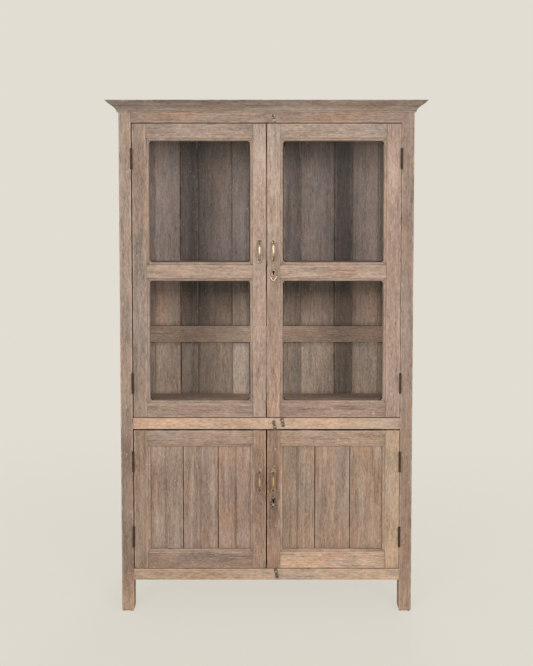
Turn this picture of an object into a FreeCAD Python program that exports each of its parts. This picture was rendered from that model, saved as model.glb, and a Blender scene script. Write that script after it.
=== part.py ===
import FreeCAD, Part
import math
import os
import Sketcher

# Glazed teak almirah. Four posts carry a joined carcass with a panelled back. Two glazed doors
# close the upper stage and two boarded doors the lower one. The front is -Y, +Z is up, lengths are
# millimetres, and the origin is on the floor under the middle of the outer box.

SIZES = {
    # carcass, and its heights from the floor up
    "carcass_width": 1100.0,
    "carcass_depth": 405.0,
    "leg_height": 122.0,
    "bottom_rail_height": 43.0,
    "lower_opening_height": 538.0,
    "middle_rail_height": 41.0,
    "upper_opening_height": 1107.0,
    "top_rail_height": 40.0,
    "post_width": 46.0,
    "side_rail_thickness": 24.0,
    # joints of the carcass
    "tenon_thickness": 8.0,
    "tenon_web": 4.0,
    "tenon_cover": 2.0,
    "side_tenon_length": 30.0,
    "panel_groove": 8.0,
    "panel_gap": 1.0,
    # side panels and framed back
    "side_panel_thickness": 10.0,
    "side_panel_recess": 9.0,
    "back_setback": 9.0,
    "back_frame_thickness": 24.0,
    "back_panel_thickness": 8.0,
    "back_muntin_width": 70.0,
    "back_muntin_pitch": 216.0,
    "back_end_stile_width": 32.0,
    "back_rail_rise": 226.0,
    "back_rail_height": 69.0,
    # roof and cornice
    "roof_thickness": 20.0,
    "cornice_seat": 20.0,
    "cornice_overhang": 44.0,
    "cornice_fillet_height": 5.0,
    "cornice_fillet_out": 6.0,
    "cornice_cove_height": 20.0,
    "cornice_cove_out": 21.0,
    "cornice_cove_radius": 50.0,
    "cornice_step": 3.0,
    "cornice_fascia_height": 14.0,
    # floors, shelves and the cleats under them
    "floor_thickness": 20.0,
    "floor_lip": 8.0,
    "shelf_thickness": 20.0,
    "shelf_setback": 6.0,
    "shelf_gap": 1.0,
    "upper_shelf_height": 564.0,
    "lower_shelf_height": 267.0,
    "cleat_width": 20.0,
    "cleat_height": 22.0,
    # doors
    "hinge_gap": 3.0,
    "meeting_gap": 4.0,
    "sill_gap": 3.0,
    "stop_clearance": 1.0,
    "hinge_stile_flat": 52.0,
    "meeting_stile_flat": 48.0,
    "door_tenon_length": 28.0,
    "door_lip": 5.0,
    "upper_top_rail_flat": 52.0,
    "upper_middle_rail_flat": 47.0,
    "upper_bottom_rail_flat": 52.0,
    "lower_top_rail_flat": 53.0,
    "lower_bottom_rail_flat": 62.0,
    "infill_gap": 1.0,
    "glass_thickness": 3.0,
    "board_thickness": 11.0,
    "board_groove_width": 5.0,
    "board_groove_depth": 2.0,
    "bead_width": 12.0,
    "bead_depth": 9.0,
    "bead_step": 1.0,
    "bead_nose": 3.0,
    # butt hinges
    "hinge_length": 75.0,
    "hinge_leaf_width": 20.0,
    "hinge_leaf_gap": 0.4,
    "knuckle_radius": 4.0,
    "knuckle_stand": 0.3,
    "knuckle_gap": 0.3,
    "pin_radius": 2.0,
    "pin_clearance": 0.05,
    "pin_head_radius": 3.0,
    "pin_head_height": 1.5,
    "upper_hinge_inset": 130.0,
    "lower_hinge_inset": 122.0,
    # pulls and keyhole plates
    "fitting_backset": 24.0,
    "upper_pull_height": 628.0,
    "lower_pull_height": 335.0,
    "pull_span": 71.0,
    "pull_leg": 9.0,
    "pull_bend": 12.0,
    "pull_bar_radius": 3.5,
    "rosette_length": 20.0,
    "rosette_width": 14.0,
    "rosette_thickness": 2.5,
    "upper_keyhole_height": 549.0,
    "lower_keyhole_height": 262.0,
    "plate_width": 29.0,
    "plate_rise": 13.0,
    "plate_drop": 36.0,
    "plate_side_radius": 44.0,
    "plate_thickness": 2.0,
    "keyhole_radius": 2.6,
    "key_slot_width": 2.8,
    "key_slot_drop": 8.0,
    # locks
    "lock_case_depth": 15.0,
    "lock_case_height": 54.0,
    "lock_back_wall": 7.0,
    "bolt_thickness": 7.0,
    "bolt_height": 22.0,
    "bolt_set": 0.5,
    "bolt_clearance": 0.3,
    "bolt_travel": 12.0,
    # turn buttons
    "button_short_end": 11.0,
    "button_long_end": 25.0,
    "button_end_radius": 6.0,
    "button_waist": 8.0,
    "button_thickness": 3.0,
    "button_clearance": 0.4,
    "button_door_gap": 1.0,
    "button_tilt": 13.0,
    "top_button_place": 28.0,
    "upper_button_place": 59.0,
    "lower_button_place": 31.0,
    "bottom_button_place": 36.0,
    "screw_radius": 2.0,
    "screw_clearance": 0.05,
    "screw_length": 18.0,
    "screw_head_radius": 4.2,
    "screw_head_height": 1.8,
}

MUNTIN_COUNT = 4
BOARD_COUNT = 3
KNUCKLE_COUNT = 5
CUT_OVERRUN = 1.0
SIDES = {"left": -1, "right": 1}


class Size:
    """A length in millimetres, kept beside the sheet formula that gives it."""

    def __init__(self, formula, value):
        self.formula = formula
        self.value = value

    @staticmethod
    def of(thing):
        return thing if isinstance(thing, Size) else Size(repr(float(thing)), float(thing))

    def __add__(self, other):
        other = Size.of(other)
        return Size(f"({self.formula} + {other.formula})", self.value + other.value)

    def __sub__(self, other):
        other = Size.of(other)
        return Size(f"({self.formula} - {other.formula})", self.value - other.value)

    def __mul__(self, other):
        other = Size.of(other)
        return Size(f"{self.formula} * {other.formula}", self.value * other.value)

    def __truediv__(self, other):
        other = Size.of(other)
        return Size(f"{self.formula} / {other.formula}", self.value / other.value)

    def __neg__(self):
        return Size(f"(0 - {self.formula})", -self.value)


doc = FreeCAD.newDocument("Almirah")
sheet = doc.addObject("Spreadsheet::Sheet", "Sizes")
for row, (alias, number) in enumerate(SIZES.items(), start=1):
    sheet.set(f"A{row}", alias)
    sheet.set(f"B{row}", str(number))
    sheet.setAlias(f"B{row}", alias)
doc.recompute()


class Named:
    """The sheet's driving sizes as attributes."""


s = Named()
for alias, number in SIZES.items():
    setattr(s, alias, Size(f"Sizes.{alias}", number))
zero = Size("0", 0.0)
nodes = {}

FRONTWARDS = FreeCAD.Rotation(FreeCAD.Vector(1, 0, 0), 90)


def place(piece, x=zero, y=zero, z=zero):
    """Bind the position of a piece to three sizes."""
    for axis, size in zip("xyz", (x, y, z)):
        piece.setExpression(f"Placement.Base.{axis}", size.formula)


def box(name, x, y, z):
    """A block between three pairs of low and high sizes."""
    block = doc.addObject("Part::Box", name)
    for measure, (low, high) in zip(("Length", "Width", "Height"), (x, y, z)):
        block.setExpression(measure, (high - low).formula)
    place(block, x[0], y[0], z[0])
    return block


def cylinder(name, radius, height, x=zero, y=zero, z=zero, turn=None):
    """A round bar that rises from a point, along +Z or along the turned +Z."""
    bar = doc.addObject("Part::Cylinder", name)
    bar.setExpression("Radius", radius.formula)
    bar.setExpression("Height", height.formula)
    if turn is not None:
        bar.Placement = FreeCAD.Placement(FreeCAD.Vector(), turn)
    place(bar, x, y, z)
    return bar


def fuse(name, pieces):
    joined = doc.addObject("Part::MultiFuse", name)
    joined.Shapes = pieces
    joined.Refine = True
    return joined


def cut(name, blank, tools):
    tool = tools[0] if len(tools) == 1 else fuse(f"{name}_tools", tools)
    remainder = doc.addObject("Part::Cut", name)
    remainder.Base = blank
    remainder.Tool = tool
    remainder.Refine = True
    return remainder


def node(label, pieces):
    """Name a sub-part. Several separate solids become one group."""
    if len(pieces) == 1:
        piece = pieces[0]
    else:
        piece = doc.addObject("Part::Compound", f"{label}_group")
        piece.Links = pieces
    piece.Label = label
    nodes[label] = piece


def span(side, inner, outer):
    """The low and high X of a stretch that lies between two distances on one side."""
    return (inner, outer) if side > 0 else (-outer, -inner)


def side_x(side, distance):
    return distance if side > 0 else -distance


def sketch_on(body, role, name):
    """A sketch on one of the body's own base planes."""
    plane = [item for item in body.Origin.OriginFeatures if item.Role == role][0]
    sketch = body.newObject("Sketcher::SketchObject", name)
    sketch.AttachmentSupport = [(plane, "")]
    sketch.MapMode = "FlatFace"
    return sketch


def bind_last(sketch, size):
    sketch.setExpression(f"Constraints[{sketch.ConstraintCount - 1}]", size.formula)


def pin_point(sketch, edge, end, x, y):
    """Hold one end of an edge at a bound distance from the sketch's origin."""
    for kind, axis, size in (("DistanceX", -2, x), ("DistanceY", -1, y)):
        if size.value == 0:
            sketch.addConstraint(Sketcher.Constraint("PointOnObject", edge, end, axis))
        elif size.value > 0:
            sketch.addConstraint(Sketcher.Constraint(kind, -1, 1, edge, end, size.value))
            bind_last(sketch, size)
        else:
            sketch.addConstraint(Sketcher.Constraint(kind, edge, end, -1, 1, -size.value))
            bind_last(sketch, -size)


def arc_between(start, end, radius, turn):
    """The short arc between two points, anticlockwise for turn 1 and clockwise for turn -1."""
    chord = end - start
    middle = (start + end) / 2
    rise = math.sqrt(radius ** 2 - (chord.Length / 2) ** 2)
    across = FreeCAD.Vector(-chord.y, chord.x, 0).normalize()
    centre = middle + across * rise * turn
    circle = Part.Circle(centre, FreeCAD.Vector(0, 0, 1), radius)
    first, last = (start, end) if turn > 0 else (end, start)
    return Part.ArcOfCircle(circle, circle.parameter(first), circle.parameter(last))


def outline(sketch, corners, arcs=None, closed=True):
    """Edges through bound corners. arcs gives the radius and the turn of the edges that are round."""
    arcs = arcs or {}
    points = [FreeCAD.Vector(x.value, y.value, 0) for x, y in corners]
    count = len(corners) if closed else len(corners) - 1
    ends = []
    for index in range(count):
        start = points[index]
        end = points[(index + 1) % len(points)]
        if index in arcs:
            radius, turn = arcs[index]
            edge = sketch.addGeometry(arc_between(start, end, radius.value, turn))
            sketch.addConstraint(Sketcher.Constraint("Radius", edge, radius.value))
            bind_last(sketch, radius)
            ends.append((edge, 1, 2) if turn > 0 else (edge, 2, 1))
        else:
            edge = sketch.addGeometry(Part.LineSegment(start, end))
            ends.append((edge, 1, 2))
    for index in range(count):
        edge, first, last = ends[index]
        pin_point(sketch, edge, first, *corners[index])
        if index + 1 < count or closed:
            following, joined, _ = ends[(index + 1) % count]
            sketch.addConstraint(Sketcher.Constraint("Coincident", edge, last, following, joined))
    if not closed:
        edge, _, last = ends[-1]
        pin_point(sketch, edge, last, *corners[-1])


def ring(sketch, radius, x, y):
    circle = Part.Circle(FreeCAD.Vector(x.value, y.value, 0), FreeCAD.Vector(0, 0, 1), radius.value)
    edge = sketch.addGeometry(circle)
    sketch.addConstraint(Sketcher.Constraint("Radius", edge, radius.value))
    bind_last(sketch, radius)
    pin_point(sketch, edge, 3, x, y)


def pad(body, sketch, name, length, midplane=False):
    feature = body.newObject("PartDesign::Pad", name)
    feature.Profile = sketch
    feature.SideType = "Symmetric" if midplane else "One side"
    feature.setExpression("Length", length.formula)
    return feature


def pocket_through(body, sketch, name):
    feature = body.newObject("PartDesign::Pocket", name)
    feature.Profile = sketch
    feature.SideType = "Symmetric"
    feature.Type = "ThroughAll"
    return feature


# Levels and planes that the pieces share.
half_width = s.carcass_width / 2
opening = half_width - s.post_width
front = (s.cornice_overhang - s.carcass_depth) / 2
back = (s.cornice_overhang + s.carcass_depth) / 2
lower_sill = s.leg_height + s.bottom_rail_height
lower_head = lower_sill + s.lower_opening_height
upper_sill = lower_head + s.middle_rail_height
upper_head = upper_sill + s.upper_opening_height
carcass_top = upper_head + s.top_rail_height
door_thickness = s.bead_depth + s.board_thickness + s.door_lip
door_back = front + door_thickness
rail_thickness = door_thickness + s.stop_clearance
hinge_edge = opening - s.hinge_gap
meeting_edge = s.meeting_gap / 2
frame_back = back - s.back_setback
frame_front = frame_back - s.back_frame_thickness
back_groove_front = frame_front + (s.back_frame_thickness - s.back_panel_thickness) / 2
back_groove = (back_groove_front, back_groove_front + s.back_panel_thickness)
panel_hold = s.panel_groove - s.panel_gap
tenon_shoulder = s.panel_groove + s.tenon_cover
side_tenon_inset = (s.side_rail_thickness - s.tenon_thickness) / 2
tenon_length = s.post_width - side_tenon_inset - s.tenon_thickness - s.tenon_web
rail_levels = {
    "bottom_rail": (s.leg_height, lower_sill),
    "middle_rail": (lower_head, upper_sill),
    "top_rail": (upper_head, carcass_top),
}

# Posts: blanks first, because the boards are notched round them.
post_blanks = {}
for end, depth in (("front", (front, front + s.post_width)), ("back", (back - s.post_width, back))):
    for hand, side in SIDES.items():
        name = f"post_{end}_{hand}"
        across = span(side, opening, half_width)
        post_blanks[name] = box(f"{name}_blank", across, depth, (zero, carcass_top))
mortises = {name: [] for name in post_blanks}

# Turn button pivots: the short end clears the door edge by the named gap.
pivot_rise = s.button_short_end + s.button_door_gap - s.sill_gap
buttons = {
    "turn_button_top": ("top_rail", s.top_button_place, upper_head + pivot_rise, 1),
    "turn_button_upper": ("middle_rail", s.upper_button_place, upper_sill - pivot_rise, -1),
    "turn_button_lower": ("middle_rail", s.lower_button_place, lower_head + pivot_rise, 1),
    "turn_button_bottom": ("bottom_rail", s.bottom_button_place, lower_sill - pivot_rise, -1),
}
button_back = front - s.button_clearance
button_front = button_back - s.button_thickness
screw_head_back = button_front - s.button_clearance
screws = []
screw_holes = {name: [] for name in rail_levels}
for name, (rail, across, level, _) in buttons.items():
    shank_length = front - screw_head_back + s.screw_length
    shank_place = (across, front + s.screw_length, level)
    shank = cylinder(f"{name}_shank", s.screw_radius, shank_length, *shank_place, FRONTWARDS)
    head_place = (across, screw_head_back, level)
    head = cylinder(f"{name}_head", s.screw_head_radius, s.screw_head_height, *head_place, FRONTWARDS)
    screw_holes[rail].append(shank)
    screws.append(fuse(f"{name}_screw", [shank, head]))
node("turn_button_screws", screws)

# Front rails with a tenon at each end.
tenon_depth = front + (rail_thickness - s.tenon_thickness) / 2
for name, (low, high) in rail_levels.items():
    pieces = [box(f"{name}_bar", (-opening, opening), (front, front + rail_thickness), (low, high))]
    for hand, side in SIDES.items():
        tenon = box(
            f"{name}_tenon_{hand}",
            span(side, opening, opening + tenon_length),
            (tenon_depth, tenon_depth + s.tenon_thickness),
            (low + tenon_shoulder, high - tenon_shoulder),
        )
        pieces.append(tenon)
        mortises[f"post_front_{hand}"].append(tenon)
    node(name, [cut(f"{name}_drilled", fuse(f"{name}_tenoned", pieces), screw_holes[name])])

# Side rails and the panels between them.
side_rails = []
side_panels = []
between_posts = (front + s.post_width, back - s.post_width)
for hand, side in SIDES.items():
    grooves = []
    stages = (("lower", lower_sill, lower_head), ("upper", upper_sill, upper_head))
    panel_x = span(
        side,
        half_width - s.side_panel_recess - s.side_panel_thickness,
        half_width - s.side_panel_recess,
    )
    for stage, low, high in stages:
        side_panels.append(box(
            f"side_panel_{stage}_{hand}",
            panel_x,
            (between_posts[0] - panel_hold, between_posts[1] + panel_hold),
            (low - panel_hold, high + panel_hold),
        ))
        groove = box(
            f"side_groove_{stage}_{hand}",
            panel_x,
            (between_posts[0] - s.panel_groove, between_posts[1] + s.panel_groove),
            (low - s.panel_groove, high + s.panel_groove),
        )
        grooves.append(groove)
        mortises[f"post_front_{hand}"].append(groove)
        mortises[f"post_back_{hand}"].append(groove)
    tenon_x = span(
        side,
        half_width - side_tenon_inset - s.tenon_thickness,
        half_width - side_tenon_inset,
    )
    for rail, (low, high) in rail_levels.items():
        name = f"side_{rail}_{hand}"
        bar_x = span(side, half_width - s.side_rail_thickness, half_width)
        bar = box(f"{name}_bar", bar_x, between_posts, (low, high))
        tenon_z = (low + tenon_shoulder, high - tenon_shoulder)
        ends = {
            "front": (between_posts[0] - s.side_tenon_length, between_posts[0]),
            "back": (between_posts[1], between_posts[1] + s.side_tenon_length),
        }
        tenons = []
        for end, depth in ends.items():
            tenon = box(f"{name}_tenon_{end}", tenon_x, depth, tenon_z)
            tenons.append(tenon)
            mortises[f"post_{end}_{hand}"].append(tenon)
        side_rails.append(cut(name, fuse(f"{name}_tenoned", [bar] + tenons), grooves))
node("side_rails", side_rails)
node("side_panels", side_panels)

# Framed back: rails across, muntins and end stiles between them, panels in their grooves.
back_middle = (upper_sill + s.back_rail_rise, upper_sill + s.back_rail_rise + s.back_rail_height)
back_levels = {
    "bottom": rail_levels["bottom_rail"],
    "floor": rail_levels["middle_rail"],
    "middle": back_middle,
    "top": rail_levels["top_rail"],
}
back_bays = {
    "lower": (lower_sill, lower_head),
    "middle": (upper_sill, back_middle[0]),
    "upper": (back_middle[1], upper_head),
}
back_grooves = []
for bay, (low, high) in back_bays.items():
    groove_z = (low - s.panel_groove, high + s.panel_groove)
    back_grooves.append(box(f"back_groove_{bay}", (-opening, opening), back_groove, groove_z))
back_rails = []
for level, (low, high) in back_levels.items():
    name = f"back_rail_{level}"
    pieces = [box(f"{name}_bar", (-opening, opening), (frame_front, frame_back), (low, high))]
    for hand, side in SIDES.items():
        tenon_x = span(side, opening, opening + tenon_length)
        tenon_z = (low + tenon_shoulder, high - tenon_shoulder)
        tenon = box(f"{name}_tenon_{hand}", tenon_x, back_groove, tenon_z)
        pieces.append(tenon)
        mortises[f"post_back_{hand}"].append(tenon)
    back_rails.append(cut(name, fuse(f"{name}_tenoned", pieces), back_grooves))
node("back_rails", back_rails)

# Uprights of the back from left to right, each with the groove depth on its left and right edge.
uprights = [(-opening, s.back_end_stile_width - opening, zero, s.panel_groove)]
for index in range(MUNTIN_COUNT):
    centre = s.back_muntin_pitch * (index - (MUNTIN_COUNT - 1) / 2)
    half = s.back_muntin_width / 2
    uprights.append((centre - half, centre + half, s.panel_groove, s.panel_groove))
uprights.append((opening - s.back_end_stile_width, opening, s.panel_groove, zero))
back_muntins = []
back_panels = []
for bay, (low, high) in back_bays.items():
    for index, (left, right, left_groove, right_groove) in enumerate(uprights):
        name = f"back_upright_{bay}_{index}"
        inner_cheek = box(f"{name}_inner", (left, right), (frame_front, back_groove[0]), (low, high))
        outer_cheek = box(f"{name}_outer", (left, right), (back_groove[1], frame_back), (low, high))
        core = box(
            f"{name}_core",
            (left + left_groove, right - right_groove),
            back_groove,
            (low - s.panel_groove, high + s.panel_groove),
        )
        back_muntins.append(fuse(name, [inner_cheek, core, outer_cheek]))
    for index in range(len(uprights) - 1):
        back_panels.append(box(
            f"back_panel_{bay}_{index}",
            (uprights[index][1] - panel_hold, uprights[index + 1][0] + panel_hold),
            back_groove,
            (low - panel_hold, high + panel_hold),
        ))
node("back_muntins", back_muntins)
node("back_panels", back_panels)

for name, blank in post_blanks.items():
    node(name, [cut(f"{name}_mortised", blank, mortises[name])])

# Cornice: one profile, mitred at the front corners, with the roof board inside it.
fillet_top = s.cornice_fillet_height
cove_top = fillet_top + s.cornice_cove_height
cornice_top = cove_top + s.cornice_fascia_height
cove_out = s.cornice_fillet_out + s.cornice_cove_out


def cornice_profile(body, role, name, outward):
    """Fillet, cove, step and leaning fascia. outward is the sign of the way out of the carcass."""
    sketch = sketch_on(body, role, name)

    def out(distance):
        return distance if outward > 0 else -distance

    corners = [
        (out(-s.cornice_seat), zero),
        (out(s.cornice_fillet_out), zero),
        (out(s.cornice_fillet_out), fillet_top),
        (out(cove_out), cove_top),
        (out(cove_out + s.cornice_step), cove_top),
        (out(s.cornice_overhang), cornice_top),
        (out(-s.cornice_seat), cornice_top),
    ]
    outline(sketch, corners, {2: (s.cornice_cove_radius, -outward)})
    return sketch


front_body = doc.addObject("PartDesign::Body", "cornice_front_body")
profile = cornice_profile(front_body, "YZ_Plane", "cornice_front_profile", -1)
pad(front_body, profile, "cornice_front_pad", s.carcass_width + s.cornice_overhang * 2, midplane=True)
for hand, side in SIDES.items():
    mitre = sketch_on(front_body, "XY_Plane", f"cornice_front_mitre_{hand}")
    tip = side_x(side, half_width + s.cornice_overhang)
    heel = side_x(side, half_width - s.cornice_seat)
    outline(mitre, [(tip, -s.cornice_overhang), (tip, s.cornice_seat), (heel, s.cornice_seat)])
    pocket_through(front_body, mitre, f"cornice_front_mitre_cut_{hand}")
place(front_body, zero, front, carcass_top)
node("cornice_front", [front_body])

for hand, side in SIDES.items():
    body = doc.addObject("PartDesign::Body", f"cornice_{hand}_body")
    profile = cornice_profile(body, "XZ_Plane", f"cornice_{hand}_profile", side)
    run = s.carcass_depth + s.cornice_overhang
    pad(body, profile, f"cornice_{hand}_pad", run)
    mitre = sketch_on(body, "XY_Plane", f"cornice_{hand}_mitre")
    inner = side_x(side, -s.cornice_seat)
    outer = side_x(side, s.cornice_overhang)
    outline(mitre, [(outer, -run), (inner, -run), (inner, s.cornice_seat - s.carcass_depth)])
    pocket_through(body, mitre, f"cornice_{hand}_mitre_cut")
    place(body, side_x(side, half_width), back, carcass_top)
    node(f"cornice_{hand}", [body])

roof_half = half_width - s.cornice_seat
roof_y = (front + s.cornice_seat, back)
roof_z = (carcass_top, carcass_top + s.roof_thickness)
node("roof_board", [box("roof", (-roof_half, roof_half), roof_y, roof_z)])

# Floors notched round the posts, shelves on cleats.
floors = []
shelves = []
cleats = []
floor_half = half_width - s.side_rail_thickness
shelf_front = door_back + s.shelf_setback
shelf_half = opening - s.shelf_gap
stages = (("lower", lower_sill, s.lower_shelf_height), ("upper", upper_sill, s.upper_shelf_height))
for stage, sill, shelf_height in stages:
    floor_top = sill + s.floor_lip
    floor_low = floor_top - s.floor_thickness
    blank = box(
        f"floor_{stage}_blank",
        (-floor_half, floor_half),
        (front + rail_thickness, frame_front),
        (floor_low, floor_top),
    )
    floors.append(cut(f"floor_{stage}", blank, list(post_blanks.values())))
    shelf_top = floor_top + shelf_height
    shelf_low = shelf_top - s.shelf_thickness
    shelf_y = (shelf_front, frame_front)
    shelves.append(box(f"shelf_{stage}", (-shelf_half, shelf_half), shelf_y, (shelf_low, shelf_top)))
    for hand, side in SIDES.items():
        floor_cleat_x = span(side, floor_half - s.cleat_width, floor_half)
        floor_cleat_z = (floor_low - s.cleat_height, floor_low)
        cleats.append(box(f"floor_cleat_{stage}_{hand}", floor_cleat_x, between_posts, floor_cleat_z))
        shelf_cleat_x = span(side, opening - s.cleat_width, opening)
        shelf_cleat_z = (shelf_low - s.cleat_height, shelf_low)
        cleats.append(box(f"shelf_cleat_{stage}_{hand}", shelf_cleat_x, shelf_y, shelf_cleat_z))
node("floor_boards", floors)
node("shelves", shelves)
node("cleats", cleats)

# Butt hinges: the barrel stands in front of the door, the leaves lie in the gap beside it.
leaf_thickness = (s.hinge_gap - s.hinge_leaf_gap) / 2
barrel_y = front - s.knuckle_radius - s.knuckle_stand
knuckle_length = (s.hinge_length - s.knuckle_gap * (KNUCKLE_COUNT - 1)) / KNUCKLE_COUNT
frame_leaves = []
hinge_pins = []


def hinge_leaf(name, side, leaf_x, level, knuckles):
    """A plate with its own knuckles, bored for the pin."""
    barrel_x = side_x(side, opening - s.hinge_gap / 2)
    low = level - s.hinge_length / 2
    plate_y = (front, front + s.hinge_leaf_width)
    pieces = [box(f"{name}_plate", leaf_x, plate_y, (low, low + s.hinge_length))]
    for knuckle in knuckles:
        start = low + (knuckle_length + s.knuckle_gap) * knuckle
        neck_z = (start, start + knuckle_length)
        pieces.append(box(f"{name}_neck_{knuckle}", leaf_x, (barrel_y, front), neck_z))
        knuckle_place = (barrel_x, barrel_y, start)
        pieces.append(cylinder(f"{name}_knuckle_{knuckle}", s.knuckle_radius, knuckle_length, *knuckle_place))
    bore_radius = s.pin_radius + s.pin_clearance
    bore = cylinder(f"{name}_bore", bore_radius, s.hinge_length, barrel_x, barrel_y, low)
    return cut(name, fuse(f"{name}_blank", pieces), [bore])


def hinge(name, side, level):
    """Adds the fixed leaf and the pin of a hinge, and gives back the leaf that the door carries."""
    fixed_x = span(side, opening - leaf_thickness, opening)
    door_x = span(side, hinge_edge, hinge_edge + leaf_thickness)
    frame_leaves.append(hinge_leaf(f"{name}_frame_leaf", side, fixed_x, level, range(0, KNUCKLE_COUNT, 2)))
    barrel_x = side_x(side, opening - s.hinge_gap / 2)
    low = level - s.hinge_length / 2
    head_low = low - s.pin_head_height
    shank = cylinder(f"{name}_shank", s.pin_radius, s.hinge_length, barrel_x, barrel_y, low)
    foot = cylinder(f"{name}_pin_foot", s.pin_head_radius, s.pin_head_height, barrel_x, barrel_y, head_low)
    head_z = low + s.hinge_length
    head = cylinder(f"{name}_pin_head", s.pin_head_radius, s.pin_head_height, barrel_x, barrel_y, head_z)
    hinge_pins.append(fuse(f"{name}_pin", [shank, foot, head]))
    return hinge_leaf(f"{name}_door_leaf", side, door_x, level, range(1, KNUCKLE_COUNT, 2))


# Locks: the case is let into the back of the stile, and its bolt slides towards the other door.
hinge_stile_width = s.hinge_stile_flat + s.bead_width
meeting_stile_width = s.meeting_stile_flat + s.bead_width
lock_case_width = meeting_stile_width - s.door_tenon_length - s.tenon_web
bolt_length = lock_case_width - s.lock_back_wall
bolt_y = door_back - (s.lock_case_depth + s.bolt_thickness) / 2


def bolt_way(name, x, level):
    """The space that the bolt needs, with its clearance all round."""
    half = s.bolt_height / 2 + s.bolt_clearance
    depth = (bolt_y - s.bolt_clearance, bolt_y + s.bolt_thickness + s.bolt_clearance)
    return box(name, x, depth, (level - half, level + half))


def strike_mortise(name, level):
    """The pocket in the edge of the left door that takes the bolt."""
    reach = s.bolt_travel - s.bolt_set - s.meeting_gap + s.bolt_clearance
    return bolt_way(name, (-meeting_edge - reach, -meeting_edge), level)


def lock(door, level):
    """Case and bolt of a right-hand door. Gives back the cuts that its stile needs."""
    case_x = (meeting_edge, meeting_edge + lock_case_width)
    case_y = (door_back - s.lock_case_depth, door_back)
    case_z = (level - s.lock_case_height / 2, level + s.lock_case_height / 2)
    case = box(f"{door}_lock_case_blank", case_x, case_y, case_z)
    bolt_x = (meeting_edge + s.bolt_set, meeting_edge + bolt_length)
    way = bolt_way(f"{door}_bolt_way", (meeting_edge, bolt_x[1] + s.bolt_clearance), level)
    node(f"{door}_lock_case", [cut(f"{door}_lock_case_hollow", case, [way])])
    half = s.bolt_height / 2
    bolt_z = (level - half, level + half)
    node(f"{door}_lock_bolt", [box(f"{door}_bolt", bolt_x, (bolt_y, bolt_y + s.bolt_thickness), bolt_z)])
    across = meeting_edge + s.fitting_backset
    drill_place = (across, case_y[0], level)
    drilling = cylinder(f"{door}_drilling", s.keyhole_radius, case_y[0] - front, *drill_place, FRONTWARDS)
    return [case, drilling]


def keyhole_plate(label, level):
    """A shield with a round head, bellied sides that meet in a point, and a keyhole."""
    body = doc.addObject("PartDesign::Body", f"{label}_body")
    shield = sketch_on(body, "XZ_Plane", f"{label}_shield")
    half = s.plate_width / 2
    shoulder = s.plate_rise - half
    outline(
        shield,
        [(half, shoulder), (zero, s.plate_rise), (-half, shoulder), (zero, -s.plate_drop)],
        {0: (half, 1), 1: (half, 1), 2: (s.plate_side_radius, 1), 3: (s.plate_side_radius, 1)},
    )
    pad(body, shield, f"{label}_pad", s.plate_thickness)
    hole = sketch_on(body, "XZ_Plane", f"{label}_hole")
    ring(hole, s.keyhole_radius, zero, zero)
    pocket_through(body, hole, f"{label}_hole_cut")
    slot = sketch_on(body, "XZ_Plane", f"{label}_slot")
    slot_half = s.key_slot_width / 2
    slot_low = -s.key_slot_drop
    outline(slot, [(slot_half, zero), (-slot_half, zero), (-slot_half, slot_low), (slot_half, slot_low)])
    pocket_through(body, slot, f"{label}_slot_cut")
    place(body, meeting_edge + s.fitting_backset, front, level)
    node(label, [body])


def pull(label, side, level):
    """A bow pull: a round bar bent out from two leaf-shaped rosettes."""
    body = doc.addObject("PartDesign::Body", f"{label}_body")
    half = s.pull_span / 2
    bar_y = s.pull_leg + s.pull_bend
    path = sketch_on(body, "YZ_Plane", f"{label}_path")
    corners = [
        (zero, -half),
        (-s.pull_leg, -half),
        (-bar_y, s.pull_bend - half),
        (-bar_y, half - s.pull_bend),
        (-s.pull_leg, half),
        (zero, half),
    ]
    outline(path, corners, {1: (s.pull_bend, -1), 3: (s.pull_bend, -1)}, closed=False)
    section = sketch_on(body, "XZ_Plane", f"{label}_section")
    ring(section, s.pull_bar_radius, zero, -half)
    bow = body.newObject("PartDesign::AdditivePipe", f"{label}_bow")
    bow.Profile = section
    bow.Spine = path
    rosettes = sketch_on(body, "XZ_Plane", f"{label}_rosettes")
    leaf_half = s.rosette_length / 2
    leaf_side = s.rosette_width / 2
    leaf_radius = (leaf_half * leaf_half + leaf_side * leaf_side) / s.rosette_width
    leaf_arcs = {0: (leaf_radius, 1), 1: (leaf_radius, 1)}
    for end in (half, -half):
        outline(rosettes, [(zero, end - leaf_half), (zero, end + leaf_half)], leaf_arcs)
    pad(body, rosettes, f"{label}_rosette_pad", s.rosette_thickness)
    place(body, side_x(side, meeting_edge + s.fitting_backset), front, level)
    node(label, [body])


def bead_frame(name, x, z, base_y):
    """Four mitred strips round a pane: full on the outer edge, thin on the inner one."""
    strips = []
    starts = ((x[0], z[0]), (x[1], z[0]), (x[1], z[1]), (x[0], z[1]))
    for index, (start_x, start_z) in enumerate(starts):
        length = (x[1] - x[0]) if index % 2 == 0 else (z[1] - z[0])
        strip = doc.addObject("Part::Wedge", f"{name}_{index}")
        reaches = {
            "Xmin": zero,
            "Xmax": length,
            "Ymin": zero,
            "Ymax": s.bead_width,
            "Zmin": zero,
            "Zmax": s.bead_depth - s.bead_step,
            "X2min": s.bead_width,
            "X2max": length - s.bead_width,
            "Z2min": zero,
            "Z2max": s.bead_nose,
        }
        for reach, size in reaches.items():
            strip.setExpression(reach, size.formula)
        turn = FreeCAD.Rotation(FreeCAD.Vector(0, 1, 0), -90 * index)
        strip.Placement = FreeCAD.Placement(FreeCAD.Vector(), turn * FRONTWARDS)
        place(strip, start_x, base_y, start_z)
        strips.append(strip)
    return strips


def glass_pane(name, x, z, depth):
    return [box(name, x, depth, z)]


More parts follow.
